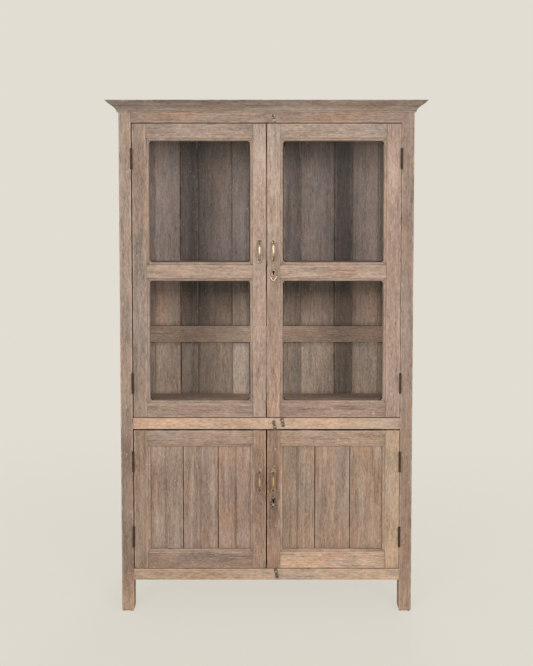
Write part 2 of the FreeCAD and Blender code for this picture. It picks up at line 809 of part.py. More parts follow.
def boarding(name, x, z, depth):
    """Upright boards that share the width, each with a groove down its middle."""
    boards = []
    width = (x[1] - x[0]) / BOARD_COUNT
    groove_y = (depth[0] - CUT_OVERRUN, depth[0] + s.board_groove_depth)
    for index in range(BOARD_COUNT):
        left = x[0] + width * index
        middle = left + width / 2
        blank = box(f"{name}_{index}_blank", (left, left + width), depth, z)
        groove_x = (middle - s.board_groove_width / 2, middle + s.board_groove_width / 2)
        groove = box(f"{name}_{index}_groove", groove_x, groove_y, z)
        boards.append(cut(f"{name}_{index}", blank, [groove]))
    return boards


def door(label, side, low, high, rails, infill, infill_thickness, infill_label, hinge_inset, edge_cuts):
    """A joined door. rails gives the flats from the bottom up, and panes lie between them."""
    meeting_inner = meeting_edge + meeting_stile_width
    hinge_inner = hinge_edge - hinge_stile_width
    meeting_x = span(side, meeting_edge, meeting_inner)
    hinge_x = span(side, hinge_inner, hinge_edge)
    rail_x = span(side, meeting_inner, hinge_inner)
    infill_y = (front + s.bead_depth, front + s.bead_depth + infill_thickness)
    rebate_y = (front - CUT_OVERRUN, infill_y[1])
    tenon_y = front + (door_thickness - s.tenon_thickness) / 2
    rail_shoulder = s.bead_width + s.tenon_cover

    bead_sides = [1] + [2] * (len(rails) - 2) + [1]
    rail_heights = [flat + s.bead_width * count for flat, count in zip(rails, bead_sides)]
    clear = high - low
    for height in rail_heights:
        clear = clear - height
    pane_height = clear / (len(rails) - 1)

    rail_spans = []
    level = low
    for height in rail_heights:
        rail_spans.append((level, level + height))
        level = level + height + pane_height
    pane_spans = [(below[1], above[0]) for below, above in zip(rail_spans, rail_spans[1:])]

    rebates = []
    beads = []
    panes = []
    for index, (sight_low, sight_high) in enumerate(pane_spans):
        name = f"{label}_pane_{index}"
        bead_x = (rail_x[0] - s.bead_width, rail_x[1] + s.bead_width)
        bead_z = (sight_low - s.bead_width, sight_high + s.bead_width)
        rebates.append(box(f"{name}_rebate", bead_x, rebate_y, bead_z))
        beads += bead_frame(f"{name}_bead", bead_x, bead_z, infill_y[0])
        pane_x = (bead_x[0] + s.infill_gap, bead_x[1] - s.infill_gap)
        pane_z = (bead_z[0] + s.infill_gap, bead_z[1] - s.infill_gap)
        panes += infill(name, pane_x, pane_z, infill_y)

    tenons = {"meeting": [], "hinge": []}
    tenon_spans = {
        "meeting": span(side, meeting_inner - s.door_tenon_length, meeting_inner),
        "hinge": span(side, hinge_inner, hinge_inner + s.door_tenon_length),
    }
    door_rails = []
    for index, (rail_low, rail_high) in enumerate(rail_spans):
        name = f"{label}_rail_{index}"
        pieces = [box(f"{name}_bar", rail_x, (front, door_back), (rail_low, rail_high))]
        for end, tenon_x in tenon_spans.items():
            tenon_z = (rail_low + rail_shoulder, rail_high - rail_shoulder)
            tenon = box(f"{name}_tenon_{end}", tenon_x, (tenon_y, tenon_y + s.tenon_thickness), tenon_z)
            pieces.append(tenon)
            tenons[end].append(tenon)
        door_rails.append(cut(name, fuse(f"{name}_tenoned", pieces), rebates))

    for end, stile_x in (("hinge", hinge_x), ("meeting", meeting_x)):
        cuts = rebates + tenons[end]
        if end == "meeting":
            cuts = cuts + edge_cuts
        blank = box(f"{label}_{end}_stile_blank", stile_x, (front, door_back), (low, high))
        node(f"{label}_{end}_stile", [cut(f"{label}_{end}_stile_cut", blank, cuts)])
    node(f"{label}_rails", door_rails)
    node(f"{label}_{infill_label}", panes)
    node(f"{label}_beads", beads)
    levels = (low + hinge_inset, high - hinge_inset)
    node(f"{label}_hinge_leaves", [
        hinge(f"{label}_hinge_{index}", side, level) for index, level in enumerate(levels)
    ])


stage_doors = {
    "upper": (
        upper_sill + s.sill_gap,
        upper_head - s.sill_gap,
        [s.upper_bottom_rail_flat, s.upper_middle_rail_flat, s.upper_top_rail_flat],
        glass_pane, s.glass_thickness, "glass", s.upper_hinge_inset,
        s.upper_pull_height, s.upper_keyhole_height,
    ),
    "lower": (
        lower_sill + s.sill_gap,
        lower_head - s.sill_gap,
        [s.lower_bottom_rail_flat, s.lower_top_rail_flat],
        boarding, s.board_thickness, "boards", s.lower_hinge_inset,
        s.lower_pull_height, s.lower_keyhole_height,
    ),
}
for stage, facts in stage_doors.items():
    low, high, rails, infill, thickness, infill_label, inset, pull_height, key_height = facts
    for hand, side in SIDES.items():
        label = f"{stage}_{hand}_door"
        key_level = low + key_height
        if side > 0:
            edge_cuts = lock(label, key_level)
            keyhole_plate(f"{label}_keyhole_plate", key_level)
        else:
            edge_cuts = [strike_mortise(f"{label}_strike", key_level)]
        door(label, side, low, high, rails, infill, thickness, infill_label, inset, edge_cuts)
        pull(f"{label}_pull", side, low + pull_height)
node("frame_hinge_leaves", frame_leaves)
node("hinge_pins", hinge_pins)

# Turn buttons: a short end beside the door, a long end that laps over it after half a turn.
for label, (_, across, level, upward) in buttons.items():
    long_reach = s.button_long_end - s.button_end_radius
    short_reach = s.button_short_end - s.button_end_radius
    long_z = long_reach if upward > 0 else -long_reach
    short_z = -short_reach if upward > 0 else short_reach
    bar_z = (short_z, long_z) if upward > 0 else (long_z, short_z)
    plate_y = (-s.button_thickness, zero)
    pieces = [
        cylinder(f"{label}_long_end", s.button_end_radius, s.button_thickness, z=long_z, turn=FRONTWARDS),
        cylinder(f"{label}_short_end", s.button_end_radius, s.button_thickness, z=short_z, turn=FRONTWARDS),
        box(f"{label}_waist", (s.button_waist / -2, s.button_waist / 2), plate_y, bar_z),
    ]
    bore_radius = s.screw_radius + s.screw_clearance
    bore = cylinder(f"{label}_bore", bore_radius, s.button_thickness, turn=FRONTWARDS)
    button = cut(f"{label}_bored", fuse(f"{label}_blank", pieces), [bore])
    button.Placement = FreeCAD.Placement(FreeCAD.Vector(), FreeCAD.Rotation(FreeCAD.Vector(0, 1, 0), 1))
    button.setExpression("Placement.Rotation.Angle", (-s.button_tilt).formula)
    place(button, across, button_back, level)
    node(label, [button])

doc.recompute()

for item in doc.Objects:
    if "Invalid" in item.State or "Error" in item.State:
        raise RuntimeError(f"{item.Name} did not build: {item.State}")
os.makedirs("parts", exist_ok=True)
for label, item in nodes.items():
    if item.Shape.isNull() or not item.Shape.isValid() or not item.Shape.Solids:
        raise RuntimeError(f"{label} has no valid solid")
for label, item in sorted(nodes.items()):
    item.Shape.exportStep(f"parts/{label}.step")
    print(f"{label}: {len(item.Shape.Solids)} solids, {item.Shape.Volume / 1000:.1f} cm3")
print(len(nodes), "sub-parts")
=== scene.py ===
# %% [markdown]
# # A weathered glazed almirah
#
# The CAD model gives every timber its place and every joint its movement. This notebook gives the
# cupboard its looks: dry limed teak with rubbed arrises, thin glass, aged brass and dark iron. Each
# new piece takes its measures from the CAD node that it stands for, so nothing is fitted by eye, and
# each one rides on the body that its node belongs to, so doors and turn buttons still move.

# %% Load the frame
import math

import bpy
import numpy as np
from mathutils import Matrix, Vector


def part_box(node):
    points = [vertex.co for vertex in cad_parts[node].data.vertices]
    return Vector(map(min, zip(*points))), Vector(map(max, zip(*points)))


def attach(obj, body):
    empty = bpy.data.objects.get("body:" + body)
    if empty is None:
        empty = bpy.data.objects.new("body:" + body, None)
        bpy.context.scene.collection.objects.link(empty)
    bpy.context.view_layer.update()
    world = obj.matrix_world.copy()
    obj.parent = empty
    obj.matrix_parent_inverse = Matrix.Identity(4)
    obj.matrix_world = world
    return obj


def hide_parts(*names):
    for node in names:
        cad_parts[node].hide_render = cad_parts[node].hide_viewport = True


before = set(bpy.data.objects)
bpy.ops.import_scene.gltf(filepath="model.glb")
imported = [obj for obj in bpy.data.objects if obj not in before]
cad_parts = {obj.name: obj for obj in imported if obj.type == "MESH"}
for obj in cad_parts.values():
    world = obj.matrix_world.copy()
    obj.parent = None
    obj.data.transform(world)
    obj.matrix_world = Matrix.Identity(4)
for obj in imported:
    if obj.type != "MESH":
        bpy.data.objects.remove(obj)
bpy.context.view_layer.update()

# %% [markdown]
# ## Measures come from the frame
#
# A node of the CAD model may hold one timber or a whole set, such as four shelves' cleats. One box
# would cover the whole set, so a second helper finds the separate solids and gives a box for each.

# %% Read boxes of nodes and of single solids
def corners(node):
    """Lowest and highest corner of a CAD node, as two arrays."""
    low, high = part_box(node)
    return np.array(low), np.array(high)


def solid_boxes(node):
    """One box for each separate solid of a node, sorted upwards and then from left to right.

    Points at the same place share a number. Every triangle gives its three points the smallest
    of their numbers, again and again, until each solid carries one number of its own.
    """
    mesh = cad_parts[node].data
    place = np.empty(len(mesh.vertices) * 3, np.float32)
    mesh.vertices.foreach_get("co", place)
    place = place.reshape(-1, 3)
    corner = np.empty(len(mesh.loops), np.int32)
    mesh.loops.foreach_get("vertex_index", corner)
    _, shared = np.unique(np.round(place * 1e5).astype(int), axis=0, return_inverse=True)
    shared = shared.ravel()
    triangle = shared[corner].reshape(-1, 3)
    number = np.arange(shared.max() + 1)
    before = None
    while not np.array_equal(before, number):
        before = number.copy()
        np.minimum.at(number, triangle.ravel(), np.repeat(number[triangle].min(axis=1), 3))
        number = number[number]
    owner = number[shared]
    boxes = [(place[owner == one].min(axis=0), place[owner == one].max(axis=0)) for one in np.unique(owner)]
    boxes = [(low.astype(float), high.astype(float)) for low, high in boxes]
    return sorted(boxes, key=lambda box: (round(box[0][2], 3), round(box[0][0], 3), round(box[0][1], 3)))


FRONT = corners("post_front_left")[0][1]
BACK = corners("post_back_left")[1][1]
print("front plane", round(FRONT, 4), "back plane", round(BACK, 4))
print("solids in the back frame", len(solid_boxes("back_rails")), len(solid_boxes("back_muntins")))

# %% [markdown]
# ## From a grid of points to a closed skin
#
# Every new piece here is a grid: rows of points along it, columns round it. Blender could loft such
# rows with curves, but a grid worked out with numpy can also carry marks for each point, such as
# how rubbed an edge is, and the finishes read those marks later.

# %% Close a skin over a grid
def skin(place, ring=False):
    """Faces of a closed skin over rows and columns of points.

    Columns close on themselves. Neighbouring rows are joined by four-cornered faces. The first and
    the last row are closed by one face each, or joined to each other where the skin is a ring. The
    enclosed volume, a sum of triple products, tells whether the faces have to be turned round.
    """
    rows, columns = place.shape[:2]
    number = np.arange(rows * columns).reshape(rows, columns)
    caps = [] if ring else [number[0, ::-1], number[-1]]
    if ring:
        number = np.vstack([number, number[:1]])
    beside = np.roll(number, -1, axis=1)
    quads = np.stack([number[:-1], beside[:-1], beside[1:], number[1:]], axis=-1).reshape(-1, 4)
    flat = place.reshape(-1, 3) - place.reshape(-1, 3).mean(axis=0)
    a, b, c, d = flat[quads].transpose(1, 0, 2)
    volume = np.sum(a * np.cross(b, c)) + np.sum(a * np.cross(c, d))
    for cap in caps:
        rim = flat[cap]
        volume += np.sum(rim.mean(axis=0) * np.cross(rim, np.roll(rim, -1, axis=0)))
    if volume < 0:
        quads = quads[:, ::-1]
        caps = [cap[::-1] for cap in caps]
    return quads, caps


def part(place, grain, tone, rub_and_highlight, dirt_and_shade, ring=False):
    """A skin with its marks, each spread over the rows and columns of its points."""
    quads, caps = skin(place, ring)
    shape = place.shape[:2]
    return {
        "place": place.reshape(-1, 3), "quads": quads, "caps": caps,
        "grain": np.broadcast_to(grain, (*shape, 3)).reshape(-1, 3),
        "tone": np.broadcast_to(tone, (*shape, 3)).reshape(-1, 3),
        "rub_and_highlight": np.broadcast_to(rub_and_highlight, shape).ravel(),
        "dirt_and_shade": np.broadcast_to(dirt_and_shade, shape).ravel(),
    }


corner_points = np.array([[(0, 0, z), (1, 0, z), (1, 1, z), (0, 1, z)] for z in (0, 1)], float)
print("a cube as a skin", len(skin(corner_points)[0]), "sides and", len(skin(corner_points)[1]), "ends")

# %% [markdown]
# Parts become one object with one mesh. Its object stays at the origin, as a CAD node's does. It is
# parented to the body it rides on, and the CAD nodes it stands for are hidden.

# %% Make an object of parts
SHARP = math.radians(38)
MARKS = (("grain", "FLOAT_VECTOR", "vector"), ("tone", "FLOAT_VECTOR", "vector"),
         ("rub_and_highlight", "FLOAT", "value"), ("dirt_and_shade", "FLOAT", "value"))


def piece(name, parts, finish, body, slot, *nodes):
    """One object made of parts. It rides on a body and stands for the given CAD nodes."""
    first = np.cumsum([0] + [len(one["place"]) for one in parts])
    faces = []
    for one, start in zip(parts, first):
        faces += (one["quads"] + start).tolist() + [(cap + start).tolist() for cap in one["caps"]]
    mesh = bpy.data.meshes.new(name)
    mesh.from_pydata(np.concatenate([one["place"] for one in parts]).tolist(), [], faces)
    for mark, kind, field in MARKS:
        values = np.concatenate([one[mark] for one in parts]).astype(np.float32)
        mesh.attributes.new(mark, kind, "POINT").data.foreach_set(field, values.ravel())
    mesh.shade_smooth()
    mesh.set_sharp_from_angle(angle=SHARP)
    mesh.materials.append(finish)
    made = bpy.data.objects.new(name, mesh)
    bpy.context.collection.objects.link(made)
    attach(made, body)
    if nodes:
        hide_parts(*nodes)
    return made


print("marks on every point", [mark for mark, _, _ in MARKS])

# %% [markdown]
# ## Shader maths as plain expressions
#
# A finish is a chain of small sums. Writing it as arithmetic keeps it readable: one class wraps an
# output socket, and each operator adds the Math node that does the same thing.

# %% Wrap a socket
class Wire:
    """An output socket that takes part in arithmetic, or a bare tree that nodes are added to."""

    def __init__(self, tree, socket=None):
        self.tree = tree
        self.socket = socket

    def node(self, kind, settings=None, values=None, output=0):
        """Add a node: its settings first, then the value or the link of each socket."""
        made = self.tree.nodes.new(kind)
        for key, value in (settings or {}).items():
            setattr(made, key, value)
        for key, value in (values or {}).items():
            if isinstance(value, Wire):
                self.tree.links.new(value.socket, made.inputs[key])
            else:
                made.inputs[key].default_value = value
        return Wire(self.tree, made.outputs[output]) if len(made.outputs) else made

    def math(self, operation, first, second):
        """One Math node."""
        return self.node("ShaderNodeMath", {"operation": operation}, {0: first, 1: second})

    def __add__(self, other):
        return self.math("ADD", self, other)

    def __radd__(self, other):
        return self.math("ADD", other, self)

    def __sub__(self, other):
        return self.math("SUBTRACT", self, other)

    def __rsub__(self, other):
        return self.math("SUBTRACT", other, self)

    def __mul__(self, other):
        return self.math("MULTIPLY", self, other)

    def __rmul__(self, other):
        return self.math("MULTIPLY", other, self)

    def __pow__(self, other):
        return self.math("POWER", self, other)

    def __rpow__(self, other):
        return self.math("POWER", other, self)

    def rise(self, low, high):
        """A smooth step from 0 at low to 1 at high."""
        settings = {"interpolation_type": "SMOOTHSTEP"}
        return self.node("ShaderNodeMapRange", settings, {"Value": self, "From Min": low, "From Max": high})

    def over(self, under, paint):
        """Paint laid over a colour where this mask is 1."""
        settings = {"data_type": "RGBA", "clamp_factor": True}
        return self.node("ShaderNodeMix", settings, {0: self, 6: under, 7: paint}, 2)


print("operators", [name for name in vars(Wire) if name.startswith("__r")])

# %% [markdown]
# Colours are written as they look on a display, from 0 to 255, and shaders need linear light.

# %% Colours and empty finishes
def linear(red, green, blue):
    """A colour given from 0 to 255 on the display, as linear light."""
    value = np.array([red, green, blue]) / 255
    return np.where(value <= 0.04045, value / 12.92, ((value + 0.055) / 1.055) ** 2.4)


def paint(red, green, blue):
    """The same colour, as a colour socket takes it."""
    return (*linear(red, green, blue), 1.0)


def bare_finish(name):
    """A material with an empty tree, and that tree ready for nodes."""
    finish = bpy.data.materials.new(name)
    finish.use_nodes = True
    finish.node_tree.nodes.clear()
    return finish, Wire(finish.node_tree)


print("a middle grey as linear light", np.round(linear(128, 128, 128), 3).tolist())

# %% [markdown]
# ## Dry, limed teak
#
# Old teak that was stripped and rubbed with lime is grey-brown, with pale pigment left in the open
# grain, dark pores, browner patches where the surface was scraped, and pale rubbed arrises. A photo
# of wood would repeat on every board. Here the figure is worked out in the space of each board: a
# mark called grain says how far along, across and into the log every point lies, so growth rings
# run through a board as they do through a tree, and every board has a different heart.

# %% Build the teak finishes
WHITE = (1.0, 1.0, 1.0, 1.0)
SILVER = (0.86, 0.93, 1.02, 1.0)
RUSSET = (1.04, 0.88, 0.76, 1.0)
LIME = paint(206, 194, 181)
PORE = paint(84, 64, 52)
RUBBED = paint(208, 180, 156)
GRIME_AND_SHADE = paint(52, 40, 32)


def weathered_teak(name, lime, silver, russet):
    """Teak whose tone comes from each board, with given shares of lime, silver and russet.

    Rings are waves of the distance from the heart. Streaks, fibres and pores are noise drawn out
    along the grain. Silver and russet patches tint the tone, and lime, pores, cracks, rubbed edges
    and grime are laid over it in turn. The grime is also painted shade, in inward corners, at board
    ends and along seams.
    """
    finish, tree = bare_finish(name)
    grain = tree.node("ShaderNodeAttribute", {"attribute_name": "grain"}, output="Vector")
    tone = tree.node("ShaderNodeAttribute", {"attribute_name": "tone"}, output="Color")
    rub_and_highlight = tree.node("ShaderNodeAttribute", {"attribute_name": "rub_and_highlight"}, output="Fac")
    dirt_and_shade = tree.node("ShaderNodeAttribute", {"attribute_name": "dirt_and_shade"}, output="Fac")

    def streaks(along, across, detail=2.0):
        """Noise with so many waves in a metre along the grain and across it."""
        stretch = {0: grain, 1: (along, across, across)}
        drawn = tree.node("ShaderNodeVectorMath", {"operation": "MULTIPLY"}, stretch)
        return tree.node("ShaderNodeTexNoise", None, {"Vector": drawn, "Scale": 1.0, "Detail": detail})

    run = tree.node("ShaderNodeSeparateXYZ", None, {0: grain}, "X")
    aside = tree.node("ShaderNodeSeparateXYZ", None, {0: grain}, "Y")
    inward = tree.node("ShaderNodeSeparateXYZ", None, {0: grain}, "Z")
    wander = streaks(1.7, 11.0) - 0.5
    heart = ((aside + wander * 0.045) ** 2.0 + (inward + run * 0.008) ** 2.0) ** 0.5
    ring = tree.math("SINE", heart * 760.0 + wander * 9.0, 0.0) * 0.5 + 0.5
    cloud = streaks(6.0, 15.0, 4.0) - 0.5
    band = streaks(15.0, 110.0, 3.0) - 0.5
    fleck = streaks(60.0, 230.0, 3.0) - 0.5
    fibre = streaks(90.0, 620.0, 3.0) - 0.5
    pore = streaks(70.0, 1250.0, 1.0).rise(0.60, 0.74)
    crack = streaks(7.0, 240.0, 2.0).rise(0.64, 0.72)
    chalk = 0.4 + 0.6 * streaks(80.0, 330.0, 2.0).rise(0.44, 0.60)
    limed = streaks(3.2, 62.0, 3.0).rise(0.46, 0.68) * chalk
    chip = streaks(95.0, 130.0, 0.0).rise(0.79, 0.82)

    shade = 1.0 + cloud * 0.75 + band * 0.80 + fleck * 1.20 + fibre * 0.80 + (ring - 0.5) * 0.10
    tint = (streaks(4.0, 14.0, 4.0).rise(0.44, 0.64) * silver).over(WHITE, SILVER)
    tint = (streaks(3.3, 12.0, 4.0).rise(0.46, 0.66) * russet).over(tint, RUSSET)
    wood = tree.node("ShaderNodeVectorMath", {"operation": "SCALE"}, {0: tone, "Scale": shade})
    wood = tree.node("ShaderNodeVectorMath", {"operation": "MULTIPLY"}, {0: wood, 1: tint})
    wood = (limed * lime).over(wood, LIME)
    wood = (pore * 0.40).over(wood, PORE)
    wood = (crack * 0.45).over(wood, PORE)
    wood = (chip * 0.60).over(wood, RUBBED)
    rubbed = rub_and_highlight * streaks(26.0, 45.0, 3.0).rise(0.36, 0.62)
    wood = (rubbed * 0.62).over(wood, RUBBED)
    # Grime and painted shade darken inward corners, board ends and seams.
    wood = (dirt_and_shade * streaks(14.0, 60.0, 3.0).rise(0.18, 0.55)).over(wood, GRIME_AND_SHADE)

    height = fibre * 0.55 + ring * 0.18 + band * 0.25 - (pore + crack) * 0.5
    relief = tree.node("ShaderNodeBump", None, {"Strength": 0.55, "Distance": 0.0009, "Height": height})
    dull = 0.74 + fibre * 0.35 - rubbed * 0.12
    surface = tree.node("ShaderNodeBsdfPrincipled", None, {
        "Base Color": wood, "Roughness": dull, "Specular IOR Level": 0.32, "Normal": relief})
    tree.node("ShaderNodeOutputMaterial", None, {"Surface": surface})
    return finish


frame_teak = weathered_teak("frame_teak", 0.22, 0.60, 0.48)
door_teak = weathered_teak("door_teak", 0.24, 0.58, 0.48)
panel_teak = weathered_teak("panel_teak", 0.38, 0.56, 0.55)
interior_teak = weathered_teak("interior_teak", 0.20, 0.60, 0.36)
print("teak nodes", len(frame_teak.node_tree.nodes))

# %% [markdown]
# ## A sawn board with rubbed arrises
#
# Every timber is a cross section carried along the board. A box with a bevel would have edges as
# even as a machine part, and its ends would look like its sides. Here the section's corners are
# small arcs that are rubbed more in some places than in others, and the ends are eased as well. The
# ends may differ from point to point of the section, which gives mitres and stepped shoulders.

# %% Draw sections
EASE = 0.0016
HOLD = np.array([0.0016, 0.0055])
HOLD_SHARE = 0.22
TURNED = 0.12


def section(points, radius=EASE, steps=3):
    """Outline of a cross section, with its outward directions, its rubbed places and its places of grime and
    painted shade.

    An outward corner becomes an arc of the radius, centred back from the corner along both sides.
    An inward corner stays one point. Two holding points stand on each side of every corner.
    """
    corner = np.array(points, float)
    following = np.roll(corner, -1, axis=0)
    if np.sum(corner[:, 0] * following[:, 1] - corner[:, 1] * following[:, 0]) < 0:
        corner = corner[::-1]
    way_in = corner - np.roll(corner, 1, axis=0)
    room_in = np.hypot(way_in[:, 0], way_in[:, 1])[:, None]
    way_in = way_in / room_in
    way_out = np.roll(way_in, -1, axis=0)
    room_out = np.roll(room_in, -1, axis=0)
    out_in = np.stack([way_in[:, 1], -way_in[:, 0]], axis=1)
    out_out = np.roll(out_in, -1, axis=0)
    cross = way_in[:, 0] * way_out[:, 1] - way_in[:, 1] * way_out[:, 0]
    turn = np.arctan2(cross, np.sum(way_in * way_out, axis=1))
    outward = turn > TURNED
    size = np.where(outward, radius, 0.0)[:, None]
    reach = size * np.tan(np.abs(turn) / 2)[:, None]
    centre = corner - way_in * reach - out_in * size
    angle = np.arctan2(out_in[:, 1], out_in[:, 0])[:, None] + turn[:, None] * np.linspace(0, 1, steps + 1)
    facing = np.stack([np.cos(angle), np.sin(angle)], axis=-1)
    arc = centre[:, None] + size[:, None] * facing
    held_in = reach + np.minimum(HOLD[::-1], room_in * HOLD_SHARE)
    held_out = reach + np.minimum(HOLD, room_out * HOLD_SHARE)
    before = corner[:, None] - way_in[:, None] * held_in[..., None]
    after = corner[:, None] + way_out[:, None] * held_out[..., None]
    at = np.concatenate([before, arc, after], axis=1)
    sides = [np.repeat(out_in[:, None], 2, axis=1), facing, np.repeat(out_out[:, None], 2, axis=1)]
    sharpness = np.array([0.0, 0.35] + [1.0] * (steps + 1) + [0.35, 0.0])
    keep = np.ones(at.shape[:2], bool)
    keep[:, 3:3 + steps] = outward[:, None]
    inward = (turn < -TURNED)[:, None]
    return {
        "at": at[keep], "out": np.concatenate(sides, axis=1)[keep],
        "rub_and_highlight": (sharpness * outward[:, None])[keep], "dirt_and_shade": (sharpness * inward)[keep],
    }


print("points round a square section", len(section([(0, 0), (1, 0), (1, 1), (0, 1)])["at"]))

# %% [markdown]
# A board takes its heart, its place along the log and a slight change of tone from seeded dice, so
# no two boards share a figure and every run gives the same cupboard.

# %% Carry a section along a board
dice = np.random.default_rng(1926)
WALL = 0.00005


def board(outline, start, end, axis, tone, soften=EASE, pitch=0.045, waver=0.0003, joint=0.45, pocket=None):
    """A section carried along an axis, x = 0, y = 1 or z = 2, from start to end.

    Rows stand at even steps, with more at the ends. Near an end the outline draws in along its
    outward directions by a quarter round. Rubbed corners draw in further by a product of two sines.
    The section's own two axes are the next two after the board's axis. The tone may be a function
    of the places. Between the two places of a pocket the outline takes its open shape.
    """
    start = np.broadcast_to(start, len(outline["at"])).astype(float)
    end = np.broadcast_to(end, len(outline["at"])).astype(float)
    span = float(np.mean(end - start))
    near = np.append(soften * np.array([0.0, 0.13, 0.5, 1.0]), min(soften + 0.005, 0.3 * span))
    middle = np.linspace(near[-1], span - near[-1], max(2, int(span / pitch)) + 1)[1:-1]
    along = np.concatenate([near, middle, span - near[::-1]])
    if pocket:
        walls = np.repeat(pocket, 2) + WALL * np.array([-1, 1, -1, 1])
        along = np.sort(np.append(along, walls - start[0]))
    left = np.minimum(along, span - along)
    inset = soften - np.sqrt(soften ** 2 - np.clip(soften - left, 0, soften) ** 2)
    phase = outline["at"] @ dice.uniform(-60, 60, 2) + dice.uniform(0, 6)
    wave = np.sin(along[:, None] * 21 + phase) * np.sin(along[:, None] * 57 - 2 * phase)
    drawn = inset[:, None] + waver * outline["rub_and_highlight"] * (0.5 + 0.5 * wave)
    flat = outline["at"] - outline["out"] * drawn[..., None]
    if pocket:
        inside = np.abs(along + start[0] - np.mean(pocket)) < (pocket[1] - pocket[0]) / 2
        flat = np.where(inside[:, None, None] & outline["cut"][:, None], outline["open"], flat)
    place = np.empty((len(along), len(start), 3))
    place[..., axis] = start + (end - start) * (along / span)[:, None]
    place[..., (axis + 1) % 3] = flat[..., 0]
    place[..., (axis + 2) % 3] = flat[..., 1]
    middle_of = (outline["at"].min(axis=0) + outline["at"].max(axis=0)) / 2
    beside, below = dice.uniform(-0.05, 0.05), dice.choice([-1, 1]) * dice.uniform(0.03, 0.12)
    heart = middle_of + np.array([beside, below])
    grain = np.concatenate([place[..., axis, None] + dice.uniform(0, 30), flat - heart], axis=-1)
    tip = np.clip(1 - left / (soften + 0.002), 0, 1)[:, None]
    rub_and_highlight = np.maximum(outline["rub_and_highlight"], 0.7 * tip)
    # Near its ends a board is darker: grime, and painted shade where it meets another part.
    dirt_and_shade = np.maximum(outline["dirt_and_shade"], joint * np.exp(-left / 0.004)[:, None]).clip(0, 1)
    tone = tone(place) if callable(tone) else np.asarray(tone)
    return part(place, grain, tone * dice.uniform(0.98, 1.02), rub_and_highlight, dirt_and_shade)


trial = board(section([(0, 0), (0.1, 0), (0.1, 0.02), (0, 0.02)]), 0, 1, 2, linear(160, 140, 127))
print("points on a one metre board", len(trial["place"]))

# %% [markdown]
# Most timbers are plain rectangles, so a helper makes a board from a box. The other one makes a tone
# that changes along a board. An image painted for each board could do that too, but a few stops are
# enough for a stain or a faded end.

# %% Graded tones and plain planks
def graded(stops, tones, axis=2):
    """A tone, or a share of one, that changes in straight lines between stops along an axis."""
    channels = np.atleast_2d(np.array(tones).T)

    def at(place):
        return np.stack([np.interp(place[..., axis], stops, channel) for channel in channels], axis=-1)

    return at


def plank(low, high, axis, tone, radius=EASE, shy=0.0002, **how):
    """A rectangular board that fills a box, less a hair on every side."""
    low = np.asarray(low, float) + shy
    high = np.asarray(high, float) - shy
    a = (axis + 1) % 3
    b = (axis + 2) % 3
    points = [(low[a], low[b]), (high[a], low[b]), (high[a], high[b]), (low[a], high[b])]
    return board(section(points, radius), low[axis], high[axis], axis, tone, **how)


print("halfway between two tones", graded((0, 1), (0.2, 0.4))(np.array([0, 0, 0.5])).tolist())

# %% [markdown]
# ## Corner posts and front rails
#
# Four square posts run from the floor to the cornice, and three rails tie the front pair. They are
# plain sawn timbers, greyer high up and browner lower down, with paler feet, and the middle rail is
# the palest. Each is one board with a tone of its own, which may change along the board. The front
# posts' rounded heads run on a little way inside the cornice, so that no gap shows under it.

# %% Corner posts
FOOT_TONES = {-1: linear(184, 155, 130), 1: linear(172, 144, 121)}
POST_STOPS = (0.04, 0.16, 0.66, 0.82)
POST_TONES = {
    "post_front_left": (linear(138, 118, 104), linear(161, 140, 126)),
    "post_front_right": (linear(150, 125, 108), linear(153, 131, 118)),
    "post_back_left": (linear(140, 120, 106), linear(148, 127, 112)),
    "post_back_right": (linear(140, 120, 106), linear(148, 127, 112)),
}
POST_ARRIS = 0.0026
POST_EASE = 0.009
HEAD_HIDDEN = 0.0085
SNUG = 0.0010
for node, (browner, greyer) in POST_TONES.items():
    low, high = corners(node)
    foot = FOOT_TONES[-1 if low[0] < 0 else 1]
    if "front" in node:
        high[2] += HEAD_HIDDEN
    if node == "post_front_right":
        low[0] -= SNUG
    tone = graded(POST_STOPS, (foot, browner, browner, greyer))
    post = plank(low, high, 2, tone, POST_ARRIS, soften=POST_EASE, joint=0.0)
    piece(f"{node}_timber", [post], frame_teak, "carcass", "frame_wood", node)
print("post heads hidden by", HEAD_HIDDEN, "right post made snug by", SNUG)

# %% [markdown]
# The rails are let into the posts, so only their length between the posts is made. Cutting the joints
# would change nothing that can be seen. The middle rail hangs a little low, and the bottom rail gets
# paler towards the right.

# %% Front rails
LEFT_FACE = corners("post_front_left")[1][0]
RIGHT_FACE = corners("post_front_right")[0][0]
BOTTOM_STOPS = (-0.45, 0.10, 0.45)
BOTTOM_TONES = (linear(185, 156, 132), linear(190, 161, 137), linear(197, 167, 142))
RAIL_TONES = {
    "top_rail": linear(159, 136, 121), "middle_rail": linear(197, 167, 143),
    "bottom_rail": graded(BOTTOM_STOPS, BOTTOM_TONES, 0),
}
RAIL_DROP = {"top_rail": 0.0, "middle_rail": 0.0015, "bottom_rail": 0.0}
RAIL_ARRIS = 0.0022
SHOULDER = 0.0008
for node, tone in RAIL_TONES.items():
    low, high = corners(node)
    low[0] = LEFT_FACE
    high[0] = RIGHT_FACE
    low[2] -= RAIL_DROP[node]
    crossing = plank(low, high, 0, tone, RAIL_ARRIS, soften=SHOULDER, joint=0.3)
    piece(f"{node}_timber", [crossing], frame_teak, "carcass", "frame_wood", node)
LEVELS = {node: (corners(node)[0][2], corners(node)[1][2]) for node in RAIL_TONES}
print("rail levels", {node: np.round(level, 3).tolist() for node, level in LEVELS.items()})

# %% [markdown]
# ## Sides
#
# Each side is a frame of rails between two posts, closed by thin boards that stand in grooves. One
# flat panel would do from afar, but three narrow boards with eased edges show joints as the doors do.

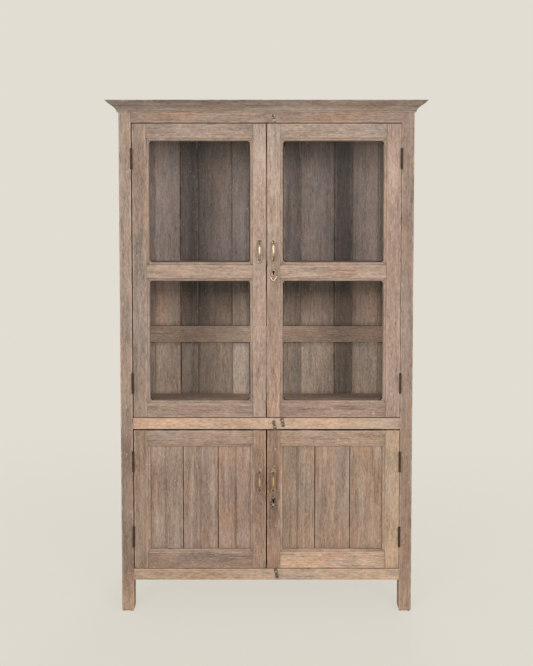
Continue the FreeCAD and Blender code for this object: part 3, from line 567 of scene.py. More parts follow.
# %% Side frames
SIDE_TONES = (linear(152, 131, 116), linear(160, 137, 120), linear(146, 126, 113))
POST_EDGES = (corners("post_front_left")[1][1], corners("post_back_left")[0][1])
side_rails = []
for low, high in solid_boxes("side_rails"):
    low[1], high[1] = POST_EDGES
    side_rails.append(plank(low, high, 1, SIDE_TONES[1], soften=SHOULDER))
piece("side_rails_timber", side_rails, frame_teak, "carcass", "frame_wood", "side_rails")

SIDE_ARRIS = 0.0018
SIDE_BOARDS = 3
side_boards = []
for low, high in solid_boxes("side_panels"):
    edges = np.linspace(low[1], high[1], SIDE_BOARDS + 1)
    for turn in range(SIDE_BOARDS):
        one_low = (low[0], edges[turn], low[2])
        one_high = (high[0], edges[turn + 1], high[2])
        side_boards.append(plank(one_low, one_high, 2, SIDE_TONES[turn], SIDE_ARRIS, soften=SHOULDER))
piece("side_panels_timber", side_boards, panel_teak, "carcass", "panel_wood", "side_panels")
print("side boards", len(side_boards))

# %% [markdown]
# ## Framed back
#
# The back is framed as the sides are: rails across, and between them uprights, called muntins, with
# panels in their grooves. All of it shows through the glass, so it is worth some care. First come the
# rails, whose tone changes along them by shares of painted light and shade, lighter at the ends.

# %% Rails of the back
BACK_RAIL_TONE = linear(195, 168, 146)
# Painted light and shade along the back rails.
RAIL_STOPS = (-0.45, -0.30, -0.20, -0.09, 0.06, 0.18, 0.30, 0.45)
RAIL_LIGHT_SHARES = (1.2, 0.9, 1.0, 1.12, 0.85, 1.0, 0.9, 1.15)
back_rail_tone = graded(RAIL_STOPS, [BACK_RAIL_TONE * share for share in RAIL_LIGHT_SHARES], 0)
back_rails = []
for low, high in solid_boxes("back_rails"):
    low[0] = LEFT_FACE
    high[0] = RIGHT_FACE
    back_rails.append(plank(low, high, 0, back_rail_tone, 0.002, soften=SHOULDER))
piece("back_rails_timber", back_rails, interior_teak, "carcass", "interior_wood", "back_rails")
back_levels = sorted((low[2], high[2]) for low, high in solid_boxes("back_rails"))
back_bays = [(lower[1], upper[0]) for lower, upper in zip(back_levels, back_levels[1:])]
print("bays of the back", np.round(back_bays, 3).tolist())

# %% [markdown]
# The inner face is painted with light and shade: a warm pale band of painted light over the rail, a
# painted shadow under the shelf and another under the top, and from side to side painted shadows of
# the meeting stiles. Both are shares of a board's tone, one set by height and one by place across,
# and a board near a corner post has less of it. The outer face stays plain. The shares were fitted:
# the mean brightness of strips and boxes was measured in the photograph and in the render, and each
# share changed by their ratio. So they hold some of the photograph's shade as well as its stains.

# %% Painted light and shade of the back
# The bay under the shelf has the palest tone: painted light, where lamplight reaches the back.
BAY_TONES = (linear(150, 130, 114), linear(179, 160, 143), linear(162, 145, 137))
LIGHT_AND_SHADE_STOPS = (1.0, 1.045, 1.13, 1.165, 1.19, 1.25, 1.31, 1.42, 1.70, 1.785, 1.803, 1.82)
INNER_LIGHT_AND_SHADE = (1.0, 1.30, 1.15, 0.95, 0.55, 0.62, 0.85, 1.0, 0.98, 0.86, 0.72, 0.50)
OUTER_LIGHT_AND_SHADE = (1.0, 1.12, 1.13, 1.09, 0.80, 0.95, 1.0, 1.0, 1.08, 1.25, 1.0, 0.65)
UNDER_SHELF = slice(1, 5)
WARM_LIT_ROWS = np.array((0.0, 1.0, 1.0, 1.0, 1.0, 0.7, 0.0, 0.0, 0.0, 0.0, 0.0, 0.0))
WARM_LIGHT = np.array((0.065, 0.0, -0.11))
# Shares across: painted shadows of the meeting stiles, and painted shade at the panes' edges.
SHADE_STOPS = (-0.42, -0.40, -0.366, -0.335, -0.309, -0.290, -0.265, -0.22, -0.18, -0.15, -0.092, -0.076,
               0.07, 0.175, 0.19, 0.22, 0.28, 0.361, 0.362, 0.43, 0.470, 0.490)
SHADE_SHARES = (1.05, 0.87, 0.80, 0.66, 0.38, 0.43, 0.70, 1.0, 1.18, 1.0, 1.0, 0.50,
                0.95, 0.97, 1.18, 1.18, 0.98, 0.92, 0.62, 1.0, 1.0, 0.55)
SHADE_POWERS = (0.0, 0.5, 1.0)
OUTSIDE_SHARE = 0.85


def lit_and_shaded(tone, share, outermost, power, under, middle):
    """The tone of one board in a row, with painted light and shade on its inner face, in front of its middle.
    """
    shares = np.array(OUTER_LIGHT_AND_SHADE if outermost else INNER_LIGHT_AND_SHADE)
    shares[UNDER_SHELF] *= under
    stains = shares[:, None] * (1 + WARM_LIT_ROWS[:, None] * WARM_LIGHT)
    upward = graded(LIGHT_AND_SHADE_STOPS, tone * share * stains)
    across = graded(SHADE_STOPS, SHADE_SHARES, 0)

    def at(place):
        inner = upward(place) * across(place) ** power
        return np.where(place[..., 1:2] < middle, inner, OUTSIDE_SHARE * tone)

    return at


print("stained bands", len(LIGHT_AND_SHADE_STOPS), "up and", len(SHADE_STOPS), "across")

# %% [markdown]
# Only the part of a panel that can be seen is made, with a little of it in the groove. Dust lies
# along the seams, more along some than others. The ends of muntins and panels are darker as well:
# dust, and painted shade of the rails over and under them.

# %% Uprights and panels
SEEN_IN_GROOVE = 0.002
HIDDEN_END = 0.0006
DENSE = 0.018
SEAM_REACH = 0.0058
SEAMS = ((0.5, 1.0), (0.4, 0.55), (0.5, 0.5), (0.5, 1.0), (0.4, 0.55))
MUNTIN_ARRIS = 0.0022


def bay_row(node, bay):
    """Boxes of a node's solids in one bay, from left to right."""
    inside = [box for box in solid_boxes(node) if bay[0] < (box[0][2] + box[1][2]) / 2 < bay[1]]
    return sorted(inside, key=lambda box: box[0][0])


def upright(low, high, bay, tone):
    """A rectangle with eight points along its front, carried up through a bay."""
    points = [(x, low[1]) for x in np.linspace(low[0], high[0], 8)]
    points += [(high[0], high[1]), (low[0], high[1])]
    outline = section(points, MUNTIN_ARRIS)
    # Dark ends: dust, and painted shade of the rails.
    return board(outline, *bay, 2, tone, soften=HIDDEN_END, pitch=DENSE, joint=1.2)


def framed_panel(left, right, front, back, bay, tone, seams):
    """A board between two uprights, tucked in a little, with grime that fades from its edges.

    Grime is a bell curve of the distance from each upright, times the strength of that seam.
    """
    steps = np.array([-SEEN_IN_GROOVE, 0.0025, 0.0075])
    inner = np.linspace(left + 0.022, right - 0.022, 6)
    across = np.concatenate([left + steps, inner, right - steps[::-1]])
    points = [(x, front) for x in across] + [(across[-1], back), (across[0], back)]
    outline = section(points, 0.0006)
    reach = np.stack([outline["at"][:, 0] - left, right - outline["at"][:, 0]], axis=1).clip(0)
    outline["dirt_and_shade"] = (np.array(seams) * np.exp(-(reach / SEAM_REACH) ** 2)).max(axis=1)
    outline["rub_and_highlight"] = 0 * outline["dirt_and_shade"]
    start, stop = bay[0] - SEEN_IN_GROOVE, bay[1] + SEEN_IN_GROOVE
    # Dark ends: dust, and painted shade of the rails.
    return board(outline, start, stop, 2, tone, soften=HIDDEN_END, pitch=DENSE, joint=1.4)


print("boards in a bay", [len(bay_row("back_muntins", bay)) for bay in back_bays])

# %% [markdown]
# The boards of a row are of one timber. Every board has a share of its bay's tone, which holds
# painted light as well, and one more for the painted shadow under the shelf.

# %% Muntins and panels of the back
# Board shares hold painted light: the outermost boards are paler where lamplight reaches them.
PANEL_SHARES = ((1.0, 0.9, 0.9, 0.9, 1.0), (1.75, 1.18, 1.1, 1.42, 1.8), (1.85, 1.0, 1.0, 1.1, 1.85))
MUNTIN_SHARES = ((0.9, 0.9, 0.9, 0.9, 0.9, 0.9), (1.2, 1.3, 1.7, 0.83, 0.58, 1.2),
                 (1.2, 0.98, 1.04, 0.62, 0.52, 1.2))
# Shares of the painted shadow under the shelf, board by board.
UNDER_SHELF_SHADE_PANELS = (1.0, 0.68, 1.0, 0.92, 1.0)
UNDER_SHELF_SHADE_MUNTINS = (1.0, 0.92, 0.97, 1.13, 1.05, 1.0)
muntins = []
back_boards = []
for level, bay in enumerate(back_bays):
    tone, power = BAY_TONES[level], SHADE_POWERS[level]
    uprights = bay_row("back_muntins", bay)
    last = len(uprights) - 1
    for turn, (low, high) in enumerate(uprights):
        share, middle = MUNTIN_SHARES[level][turn], (low[1] + high[1]) / 2
        shade = lit_and_shaded(tone, share, turn in (0, last), power, UNDER_SHELF_SHADE_MUNTINS[turn], middle)
        muntins.append(upright(low, high, bay, shade))
    panel_low, panel_high = bay_row("back_panels", bay)[0]
    for turn, ((_, left), (right, _)) in enumerate(zip(uprights, uprights[1:])):
        share, middle = PANEL_SHARES[level][turn], (panel_low[1] + panel_high[1]) / 2
        shade = lit_and_shaded(tone, share, turn in (0, last - 1), power, UNDER_SHELF_SHADE_PANELS[turn], middle)
        sides = (left[0], right[0], panel_low[1], panel_high[1])
        back_boards.append(framed_panel(*sides, bay, shade, SEAMS[turn]))
piece("back_muntins_timber", muntins, interior_teak, "carcass", "interior_wood", "back_muntins")
piece("back_panels_timber", back_boards, interior_teak, "carcass", "panel_wood", "back_panels")
print("back rails, muntins and panels", len(back_rails), len(muntins), len(back_boards))

# %% [markdown]
# ## Floors, shelves, cleats and roof
#
# These are plain boards laid side by side. The bottom boards of the two spaces are notched round the
# posts, so the ends of their outer boards step back where the section lies beside a post. The upper
# bottom shows through the panes, and a share of painted light makes it paler.

# %% Lay boards side by side
SHELF_TONES = (linear(142, 122, 107), linear(134, 115, 101), linear(148, 127, 111), linear(138, 119, 105))
SHELF_ARRIS = 0.0014
HAIR = 0.0003
STEP = 0.0001


def laid_boards(low, high, count, notch=None, share=1.0):
    """Boards along x that share a depth. A notch gives the two depths between which no post stands."""
    edges = np.linspace(low[1], high[1], count + 1)
    laid = []
    for turn in range(count):
        one_low = np.array([low[0], edges[turn], low[2]]) + 0.0002
        one_high = np.array([high[0], edges[turn + 1], high[2]]) - 0.0002
        start, stop = one_low[0], one_high[0]
        points = [(one_low[1], one_low[2]), (one_high[1], one_low[2]),
                  (one_high[1], one_high[2]), (one_low[1], one_high[2])]
        step = [edge for edge in (notch or ()) if one_low[1] + 0.004 < edge < one_high[1] - 0.004]
        if step:
            points[1:1] = [(step[0] - STEP, one_low[2]), (step[0] + STEP, one_low[2])]
            points[5:5] = [(step[0] + STEP, one_high[2]), (step[0] - STEP, one_high[2])]
        outline = section(points, SHELF_ARRIS)
        if notch:
            beside_post = (outline["at"][:, 0] < notch[0]) | (outline["at"][:, 0] > notch[1])
            start = np.where(beside_post, LEFT_FACE + HAIR, start)
            stop = np.where(beside_post, RIGHT_FACE - HAIR, stop)
        laid.append(board(outline, start, stop, 0, share * SHELF_TONES[turn % 4], soften=HIDDEN_END))
    return laid


print("tones of flat boards", len(SHELF_TONES))

# %% [markdown]
# Each flat surface gets a few wide boards, because one sheet as wide as the cupboard is not timber.
# The cleats are the strips that carry them, one board each.

# %% Floors, shelves, roof and cleats
# The upper bottom's share is painted light.
FLOOR_LIGHT_SHARES = (1.0, 1.7)
floors = []
for (low, high), share in zip(solid_boxes("floor_boards"), FLOOR_LIGHT_SHARES):
    floors += laid_boards(low, high, 4, POST_EDGES, share)
piece("floor_boards_timber", floors, interior_teak, "carcass", "interior_wood", "floor_boards")
shelves = []
for low, high in solid_boxes("shelves"):
    shelves += laid_boards(low, high, 3)
piece("shelves_timber", shelves, interior_teak, "carcass", "interior_wood", "shelves")
roof = laid_boards(*corners("roof_board"), 4)
piece("roof_board_timber", roof, interior_teak, "carcass", "interior_wood", "roof_board")
cleats = [plank(low, high, 1, SHELF_TONES[1]) for low, high in solid_boxes("cleats")]
piece("cleats_timber", cleats, interior_teak, "carcass", "interior_wood", "cleats")
print("flat boards", len(floors), len(shelves), len(roof), "cleats", len(cleats))

# %% [markdown]
# ## Moulded cornice
#
# Three lengths of one moulding crown the cupboard, mitred at the front corners: a narrow fillet, a
# wide shallow hollow, a quirk and a leaning top band. One profile is carried along each length, and
# its ends run out as far as the profile stands forward, which is what makes a mitre. The moulding is
# darker towards its top band.

# %% Profile of the cornice
CROWN_LOW, CROWN_HIGH = corners("cornice_front")
CROWN_OUT = FRONT - CROWN_LOW[1]
CROWN_TALL = CROWN_HIGH[2] - CROWN_LOW[2]
SIDE_OUT = corners("post_front_right")[1][0]
HOLLOW_LOW = np.array([0.006, 0.005])
HOLLOW_HIGH = np.array([0.027, 0.025])
HOLLOW_SAG = 0.0021
share = np.linspace(0, 1, 8)[:, None]
inward = np.array([-0.69, 0.72])
hollow = HOLLOW_LOW + (HOLLOW_HIGH - HOLLOW_LOW) * share + inward * HOLLOW_SAG * 4 * share * (1 - share)
crown_points = np.concatenate([
    [(-0.020, 0.0), (HOLLOW_LOW[0], 0.0)], hollow, [(0.0262, 0.0262), (0.0306, 0.0268)],
    [(CROWN_OUT, CROWN_TALL), (-0.020, CROWN_TALL)]])
CROWN_TONES = (linear(162, 140, 124), linear(150, 134, 123), linear(138, 124, 115), linear(132, 116, 106))
crown_tone = graded(CROWN_LOW[2] + np.array([0.004, 0.012, 0.034, 0.0385]), CROWN_TONES)
crown_share = graded((-0.55, -0.10, 0.20, 0.42, 0.58), (0.90, 0.96, 1.12, 1.08, 0.90), 0)
print("cornice stands out", round(CROWN_OUT, 4), "and is tall", round(CROWN_TALL, 4))

# %% [markdown]
# The front length runs along x and the two returns along y. Mitres could be sawn with a cutting plane
# afterwards, but here every point of the profile has its own ends, so the lengths meet exactly. The
# front is paler to the right of the middle.

# %% Lengths of the cornice
CROWN_ARRIS = 0.001
CROWN_BOARD = {"soften": 0.0003, "waver": 0.0002, "joint": 0.3}


def front_tone(place):
    """The moulding's tone by height, times a share that changes across the front."""
    return crown_tone(place) * crown_share(place)


def crown_front():
    """The profile carried along x, each point's ends as far out as the point stands forward."""
    flat = np.stack([FRONT - crown_points[:, 0], CROWN_LOW[2] + crown_points[:, 1]], axis=1)
    shape = section(flat, CROWN_ARRIS)
    forward = FRONT - shape["at"][:, 0]
    return board(shape, -SIDE_OUT - forward, SIDE_OUT + forward, 0, front_tone, **CROWN_BOARD)


def crown_side(hand):
    """The profile carried along y, mitred in front and cut square behind."""
    flat = np.stack([CROWN_LOW[2] + crown_points[:, 1], hand * (SIDE_OUT + crown_points[:, 0])], axis=1)
    shape = section(flat, CROWN_ARRIS)
    outward = hand * shape["at"][:, 1] - SIDE_OUT
    return board(shape, FRONT - outward, BACK, 1, crown_tone, **CROWN_BOARD)


crown = {"cornice_front": crown_front(), "cornice_left": crown_side(-1), "cornice_right": crown_side(1)}
for node, length in crown.items():
    piece(f"{node}_timber", [length], frame_teak, "carcass", "frame_wood", node)
print("points on the lengths", {node: len(length["place"]) for node, length in crown.items()})

# %% [markdown]
# ## Doors
#
# A door is two stiles, two or three rails, and an infill held by mitred beads. In front of the
# rebate a stile is narrower than behind it, so its section is an L, and a rail that carries two
# panes has a T. Rails meet the stiles at the narrow part in front and at the lip behind, so each
# rail's ends step by the width of the bead. The doors differ in tone from board to board, and the
# meeting stiles are darker round the pulls: grime from hands, and a painted shadow of the pulls.
# Tones and shares were fitted to mean colours measured in the photograph, as those of the back were.

# %% Tones of the doors
# Shares up a meeting stile darken it round the pulls: grime, and a painted shadow of the pulls.
def grimed_and_shaded(stops, *parts):
    """A tone that changes up a stile: each part is a tone and its shares at the next few stops."""
    return graded(stops, np.concatenate([np.outer(shares, tone) for tone, shares in parts]))


SHADED_TONES = (linear(142, 123, 110), linear(152, 132, 118), linear(159, 138, 124))
DOOR_TONES = {
    "upper_left_door": {
        "hinge_stile": graded((-0.501, -0.470, -0.440), SHADED_TONES, 0),
        "meeting_stile": grimed_and_shaded((0.77, 0.83, 0.90, 1.02, 1.25, 1.36, 1.43, 1.55),
                                (linear(179, 155, 139), (0.95, 0.80, 0.86, 0.97, 1.07, 0.97, 0.95, 1.03))),
        "rails": (linear(161, 140, 127), linear(174, 149, 132), linear(163, 143, 129)),
        "beads": linear(159, 138, 124)},
    "upper_right_door": {
        "hinge_stile": linear(175, 148, 133),
        "meeting_stile": grimed_and_shaded((0.77, 0.83, 0.93, 1.05, 1.18, 1.30, 1.43, 1.52, 1.65, 1.75),
                                (linear(165, 139, 123), (1.30, 1.14, 1.02, 0.97, 0.87, 0.96)),
                                (linear(179, 157, 141), (0.82, 0.93, 1.0, 1.07))),
        "rails": (linear(159, 132, 117), linear(182, 157, 140), linear(169, 149, 135)),
        "beads": linear(165, 141, 126)},
    "lower_left_door": {
        "hinge_stile": linear(157, 133, 115),
        "meeting_stile": grimed_and_shaded((0.20, 0.30, 0.40, 0.49, 0.58, 0.64),
                                (linear(157, 130, 111), (1.08, 1.05, 0.84, 0.74, 0.96, 1.07))),
        "rails": (linear(155, 131, 115), linear(170, 146, 129)),
        "beads": linear(162, 139, 122)},
    "lower_right_door": {
        "hinge_stile": linear(190, 162, 136),
        "meeting_stile": grimed_and_shaded((0.19, 0.25, 0.31, 0.37, 0.50, 0.56, 0.62),
                                (linear(150, 120, 101), (1.22, 1.16, 0.98, 0.85, 0.83, 0.88, 1.07))),
        "rails": (linear(204, 171, 145), linear(177, 149, 128)),
        "beads": linear(178, 150, 129)},
}
print("doors", list(DOOR_TONES))

# %% [markdown]
# The meeting stiles are cut for the locks. A boolean cut would leave long thin faces, so the outline
# changes shape between two levels instead: its points go in to the pocket's walls and come out again.

# %% Pockets for the locks
DOOR_FRONT, DOOR_BACK = (corners("upper_left_door_meeting_stile")[side][1] for side in (0, 1))
BOLT_TRAVEL = 0.012


def opened(outline, shut, way):
    """Adds to an outline the open shape of a pocket: the shut points go to those of the way.

    Points between them move in proportion to their distance round the outline.
    """
    at = outline["at"]
    knots = [int(np.argmin(np.hypot(*(at - point).T))) for point in np.array(shut)]
    if knots[0] > knots[-1]:
        knots = knots[::-1]
        way = way[::-1]
    run = np.append(0, np.cumsum(np.hypot(*np.diff(at, axis=0).T)))
    moved = np.stack([np.interp(run, run[knots], column) for column in np.array(way).T], axis=1)
    number = np.arange(len(at))
    return {**outline, "open": moved, "cut": (number >= knots[0]) & (number <= knots[-1])}


def lock_pocket(door, edge):
    """Where a meeting stile is cut: its outline's points when shut and when open, and two levels.

    The right-hand stile is let out for the lock case, from the back. The left-hand one has a
    mortise in its edge that takes the bolt when it has run out.
    """
    if "right" in door:
        low, high = corners(f"{door}_lock_case")
        back = DOOR_BACK - HAIR
        shut = [(high[0] + HAIR, back), (edge, back), (edge, low[1] - HAIR)]
        way = [shut[0], (high[0] + HAIR, low[1] - HAIR), shut[2]]
    else:
        low, high = corners(f"{door.replace('left', 'right')}_lock_bolt")
        floor = low[0] - BOLT_TRAVEL - 2 * HAIR
        back, front = high[1] + HAIR, low[1] - HAIR
        shut = [(edge, back), (edge, back - HAIR), (edge, front + HAIR), (edge, front)]
        way = [shut[0], (floor, back), (floor, front), shut[3]]
    return shut, way, (low[2] - HAIR, high[2] + HAIR)


print("door front and back", round(DOOR_FRONT, 4), round(DOOR_BACK, 4))

# %% [markdown]
# The lower doors have sunk a little on their hinges, so a dark gap shows over their heads, and the
# right-hand doors sit close to their post.

# %% Stiles
REBATE = corners("upper_left_door_beads")[1][1]
HEADROOM = {"upper": 0.0, "lower": 0.0032}
STILE_ARRIS = 0.002
STILE_BOARD = {"soften": 0.0016, "joint": 0.3}


def stile(door, which, flat_edge, tone):
    """An L section carried upwards. The flat edge is where its front face ends."""
    low, high = corners(f"{door}_{which}")
    on_left = high[0] - flat_edge < flat_edge - low[0]
    snug = SNUG if door.endswith("right_door") and which == "hinge_stile" else -HAIR
    outer, lip = (low[0] + HAIR, high[0]) if on_left else (high[0] + snug, low[0])
    back = DOOR_BACK - HAIR
    points = [(outer, DOOR_FRONT), (flat_edge, DOOR_FRONT), (flat_edge, REBATE), (lip, REBATE), (lip, back)]
    corner = (outer, back)
    head = high[2] - HEADROOM[door[:5]]
    if which == "hinge_stile":
        return board(section([*points, corner], STILE_ARRIS), low[2], head, 2, tone, **STILE_BOARD)
    shut, way, levels = lock_pocket(door, outer)
    points += [*shut[:1], corner, *shut[2:]] if "right" in door else [corner, *shut]
    outline = opened(section(points, STILE_ARRIS), shut, way)
    return board(outline, low[2], head, 2, tone, pocket=levels, **STILE_BOARD)


print("rebate at", round(REBATE, 4), "headroom", HEADROOM)

# %% [markdown]
# A rail lies between two stiles. In front it ends at their front faces, and behind it runs on to their
# lips, so the two halves of its section have different ends. The heads of the lower doors are
# darkened: dust, and painted shade of the gap over them.

# %% Rails of a door
DOOR_RAIL_ARRIS = 0.0018
TOP_EDGE = 0.0004


def rail(low, high, flats, lips, beads_below, beads_above, bead, tone, grime):
    """An L or T section carried along x, with ends at the flats in front and at the lips behind.

    Its upper edge holds a share of grime and painted shade.
    """
    front_low = low[2] + (bead if beads_below else 0)
    front_high = high[2] - (bead if beads_above else 0)
    back = DOOR_BACK - HAIR
    points = [(DOOR_FRONT, front_low), (REBATE - STEP, front_low), (REBATE, low[2]), (back, low[2]),
              (back, high[2]), (REBATE, high[2]), (REBATE - STEP, front_high), (DOOR_FRONT, front_high)]
    outline = section(points, DOOR_RAIL_ARRIS)
    outline["dirt_and_shade"] = np.where(outline["at"][:, 1] > high[2] - TOP_EDGE, grime, outline["dirt_and_shade"])
    front_rub_and_highlight = outline["at"][:, 0] < REBATE - STEP / 2
    start = np.where(front_rub_and_highlight, flats[0], lips[0])
    stop = np.where(front_rub_and_highlight, flats[1], lips[1])
    return board(outline, start, stop, 0, tone, soften=SHOULDER)


print("rails of each door", {door: len(solid_boxes(f"{door}_rails")) for door in DOOR_TONES})

# %% [markdown]
# Mitred beads hold the panes and the boards. They are an ovolo with a quirk, and their thin edge is
# darkened by dirt and by painted shade along the glass. A bead is mitred as the cornice is: its ends
# move in as far as its points do.

# %% Beads
BEAD_ARRIS = 0.0006
BEAD_EASE = 0.0003
BEAD_GRIME_AND_SHADE = 0.4
GRIME_REACH = 0.005


def bead_profile(width, thick, thin):
    """Distances inwards and forwards: a small fillet, a quirk, and an ovolo down to the thin edge."""
    turn = np.linspace(0, np.pi / 2, 6)[1:]
    start = 0.0028
    quirk = thick - 0.0012
    ovolo = np.stack([start + (width - start) * np.sin(turn), thin + (quirk - thin) * np.cos(turn)], axis=1)
    head = [(0.0, 0.0), (0.0, thick), (0.0022, thick), (start, quirk)]
    return np.concatenate([head, ovolo, [(width, 0.0)]])


def bead_strip(profile, edge, inward, axis, low, high, bead, tone):
    """One strip along x or z, from low to high. Its ends move in as its points do: a mitre."""
    flat = [edge + inward * profile[:, 0], REBATE - profile[:, 1]]
    side = 0 if axis == 2 else 1
    shape = section(np.stack(flat if axis == 2 else flat[::-1], axis=1), BEAD_ARRIS)
    into = inward * (shape["at"][:, side] - edge)
    # Dirt and painted shade along the glass edge.
    near_glass = np.clip((into - bead) / GRIME_REACH + 1, 0, 1)
    shape["dirt_and_shade"] = np.maximum(shape["dirt_and_shade"], BEAD_GRIME_AND_SHADE * near_glass)
    return board(shape, low + into, high - into, axis, tone, soften=BEAD_EASE)


def bead_frame(low_x, high_x, low_z, high_z, bead, tone):
    """Four strips of the bead round an opening: two upright ones, then two that lie."""
    profile = bead_profile(bead, REBATE - DOOR_FRONT - 0.001, 0.003)
    strips = [bead_strip(profile, edge, inward, 2, low_z, high_z, bead, tone)
              for edge, inward in ((low_x, 1), (high_x, -1))]
    return strips + [bead_strip(profile, edge, inward, 0, low_x, high_x, bead, tone)
                     for edge, inward in ((low_z, 1), (high_z, -1))]


print("points of a bead's profile", len(bead_profile(0.01, 0.008, 0.003)))

# %% [markdown]
# In the corners of the panes old putty has been smeared round, so those corners look rounded. It is a
# thin fillet in front of the glass, and not part of the bead, because the mitre runs on under it.

# %% Putty in the corners
FILLET = 0.0115
PUTTY_GRIME = 0.2


def corner_fillet(x, z, right, up, tone):
    """Putty in the corner of a pane: a square with a quarter circle cut away, carried to the glass."""
    turn = np.linspace(0, np.pi / 2, 7)
    arc = np.stack([z + up * FILLET * (1 - np.sin(turn)), x + right * FILLET * (1 - np.cos(turn))], axis=1)
    tucked = np.array([(z - up * HAIR, x + right * FILLET), (z - up * HAIR, x - right * HAIR),
                       (z + up * FILLET, x - right * HAIR)])
    outline = section(np.concatenate([arc, tucked]), 0.0002)
    outline["dirt_and_shade"] = PUTTY_GRIME + 0 * outline["dirt_and_shade"]
    return board(outline, REBATE - 0.0036, REBATE - 0.0002, 1, tone, soften=0.0002, joint=PUTTY_GRIME)


print("putty reaches", FILLET, "m from a corner")

# %% [markdown]
# Now each door is put together from the boxes of its CAD nodes. The bead is as wide as a stile's lip,
# so it needs no measure of its own. One loop makes all four doors, and what differs between them is
# the number of rails, the tones and the putty.

# %% Put the doors together
openings = {}
for door, tones in DOOR_TONES.items():
    beads_low, beads_high = corners(f"{door}_beads")
    hinge_low, hinge_high = corners(f"{door}_hinge_stile")
    meeting_low, meeting_high = corners(f"{door}_meeting_stile")
    flats = (beads_low[0], beads_high[0])
    lips = (min(hinge_high[0], meeting_high[0]), max(hinge_low[0], meeting_low[0]))
    bead = lips[0] - flats[0]
    for which in ("hinge_stile", "meeting_stile"):
        left_one = corners(f"{door}_{which}")[0][0] < flats[0]
        one = stile(door, which, flats[0] if left_one else flats[1], tones[which])
        piece(f"{door}_{which}_timber", [one], door_teak, door, "door_wood", f"{door}_{which}")
    levels = solid_boxes(f"{door}_rails")
    headroom = HEADROOM[door[:5]]
    levels[-1][1][2] -= headroom
    # Grime and painted shade of the gap darken the head of a lower door.
    grime = 1.0 if headroom else 0.0
    rails = []
    for turn, (low, high) in enumerate(levels):
        edges = (turn > 0, turn < len(levels) - 1)
        rails.append(rail(low, high, flats, lips, *edges, bead, tones["rails"][turn], grime))
    piece(f"{door}_rails_timber", rails, door_teak, door, "door_wood", f"{door}_rails")
    strips = []
    openings[door] = []
    for (_, below), (above, _) in zip(levels, levels[1:]):
        opening = (*flats, below[2] - bead, above[2] + bead)
        openings[door].append(opening)
        strips += bead_frame(*opening, bead, tones["beads"])
        if door.startswith("upper"):
            for right, x in ((1, opening[0] + bead), (-1, opening[1] - bead)):
                for up, z in ((1, opening[2] + bead), (-1, opening[3] - bead)):
                    strips.append(corner_fillet(x, z, right, up, tones["beads"]))
    piece(f"{door}_beads_timber", strips, door_teak, door, "door_wood", f"{door}_beads")
print("bead width", round(bead, 4), "openings", {door: len(found) for door, found in openings.items()})

# %% [markdown]
# ## Boarded panels of the lower doors
#
# Each lower door has three upright boards. Their edges are chamfered, so a joint shows as a fine
# valley, and a shallow groove runs down the middle of each board to look like one more joint. Some
# grooves hold dark grime with painted shade and some a pale filling. The boards are paler near the
# head and the foot; at the head this is painted light against the shade under the bead. Their tone
# drifts from column to column. The shares by column and by height were fitted to the photograph as
# well.

# %% Tones of the boards
BOARD_TONES = {
    "lower_left_door": (linear(152, 130, 115), linear(156, 132, 116), linear(153, 128, 112)),
    "lower_right_door": (linear(163, 138, 119), linear(156, 131, 114), linear(160, 133, 114)),
}
GROOVE_FILLS = {
    "lower_left_door": ((0.28, 0.0), (0.14, 0.0), (0.36, 0.0)),
    "lower_right_door": ((0.32, 0.0), (0.0, 0.8), (0.08, 0.5)),
}
COLUMN_PLACES = {
    "lower_left_door": (-0.394, -0.336, -0.277, -0.219, -0.160, -0.102),
    "lower_right_door": (0.092, 0.154, 0.216, 0.277, 0.339, 0.400),
}
COLUMN_SHARES = {
    "lower_left_door": (1.12, 1.02, 0.89, 0.97, 1.06, 1.15),
    "lower_right_door": (0.83, 0.95, 1.05, 1.06, 0.99, 1.08),
}
# Shares by height: paler at the foot, and at the head painted light against the bead's shade.
board_rise = graded((0.242, 0.275, 0.33, 0.56, 0.60, 0.635), (1.12, 1.10, 0.99, 0.99, 1.10, 1.20))


def drifting(tone, across):
    """A board's tone, times its shares by column and by height."""
    return lambda place: tone * across(place) * board_rise(place)


print("columns with a share", {door: len(shares) for door, shares in COLUMN_SHARES.items()})

# %% [markdown]
# A groove could be a bump in the finish, but a bump has no depth when it is seen from the side. So
# chamfers and groove are part of the section, and the section carries their grime and painted shade
# as well.

# %% Grooved boards
BOARDS = 3
VALLEY = 0.0026
GROOVE = 0.0048
GROOVE_DEPTH = 0.0024


def grooved_board(low, high, tone, dark, pale):
    """A section with chamfered front edges and a rounded middle groove, carried upwards.

    The groove is half a cosine wave. It holds a share of dark grime with painted shade, or of pale filling.
    """
    front = low[1]
    middle = (low[0] + high[0]) / 2
    bow = np.linspace(-1, 1, 7)
    groove = np.stack([middle + GROOVE * bow, front + GROOVE_DEPTH * np.cos(bow * np.pi / 2)], axis=1)
    points = np.concatenate([
        [(low[0], high[1]), (low[0], front + VALLEY), (low[0] + VALLEY, front)], groove,
        [(high[0] - VALLEY, front), (high[0], front + VALLEY), (high[0], high[1])]])
    outline = section(points, 0.0007)
    from_middle = np.abs(outline["at"][:, 0] - middle)
    behind = outline["at"][:, 1] - front
    depth = np.where(behind < 2 * VALLEY, np.clip(behind / 0.002, 0, 1), 0.0)
    in_groove = from_middle < GROOVE * 1.1
    outline["dirt_and_shade"] = np.where(in_groove, dark * depth, np.maximum(outline["dirt_and_shade"], depth))
    outline["rub_and_highlight"] = np.where(in_groove, pale * depth, 0.5 * outline["rub_and_highlight"])
    return board(outline, low[2], high[2], 2, tone, soften=HIDDEN_END)


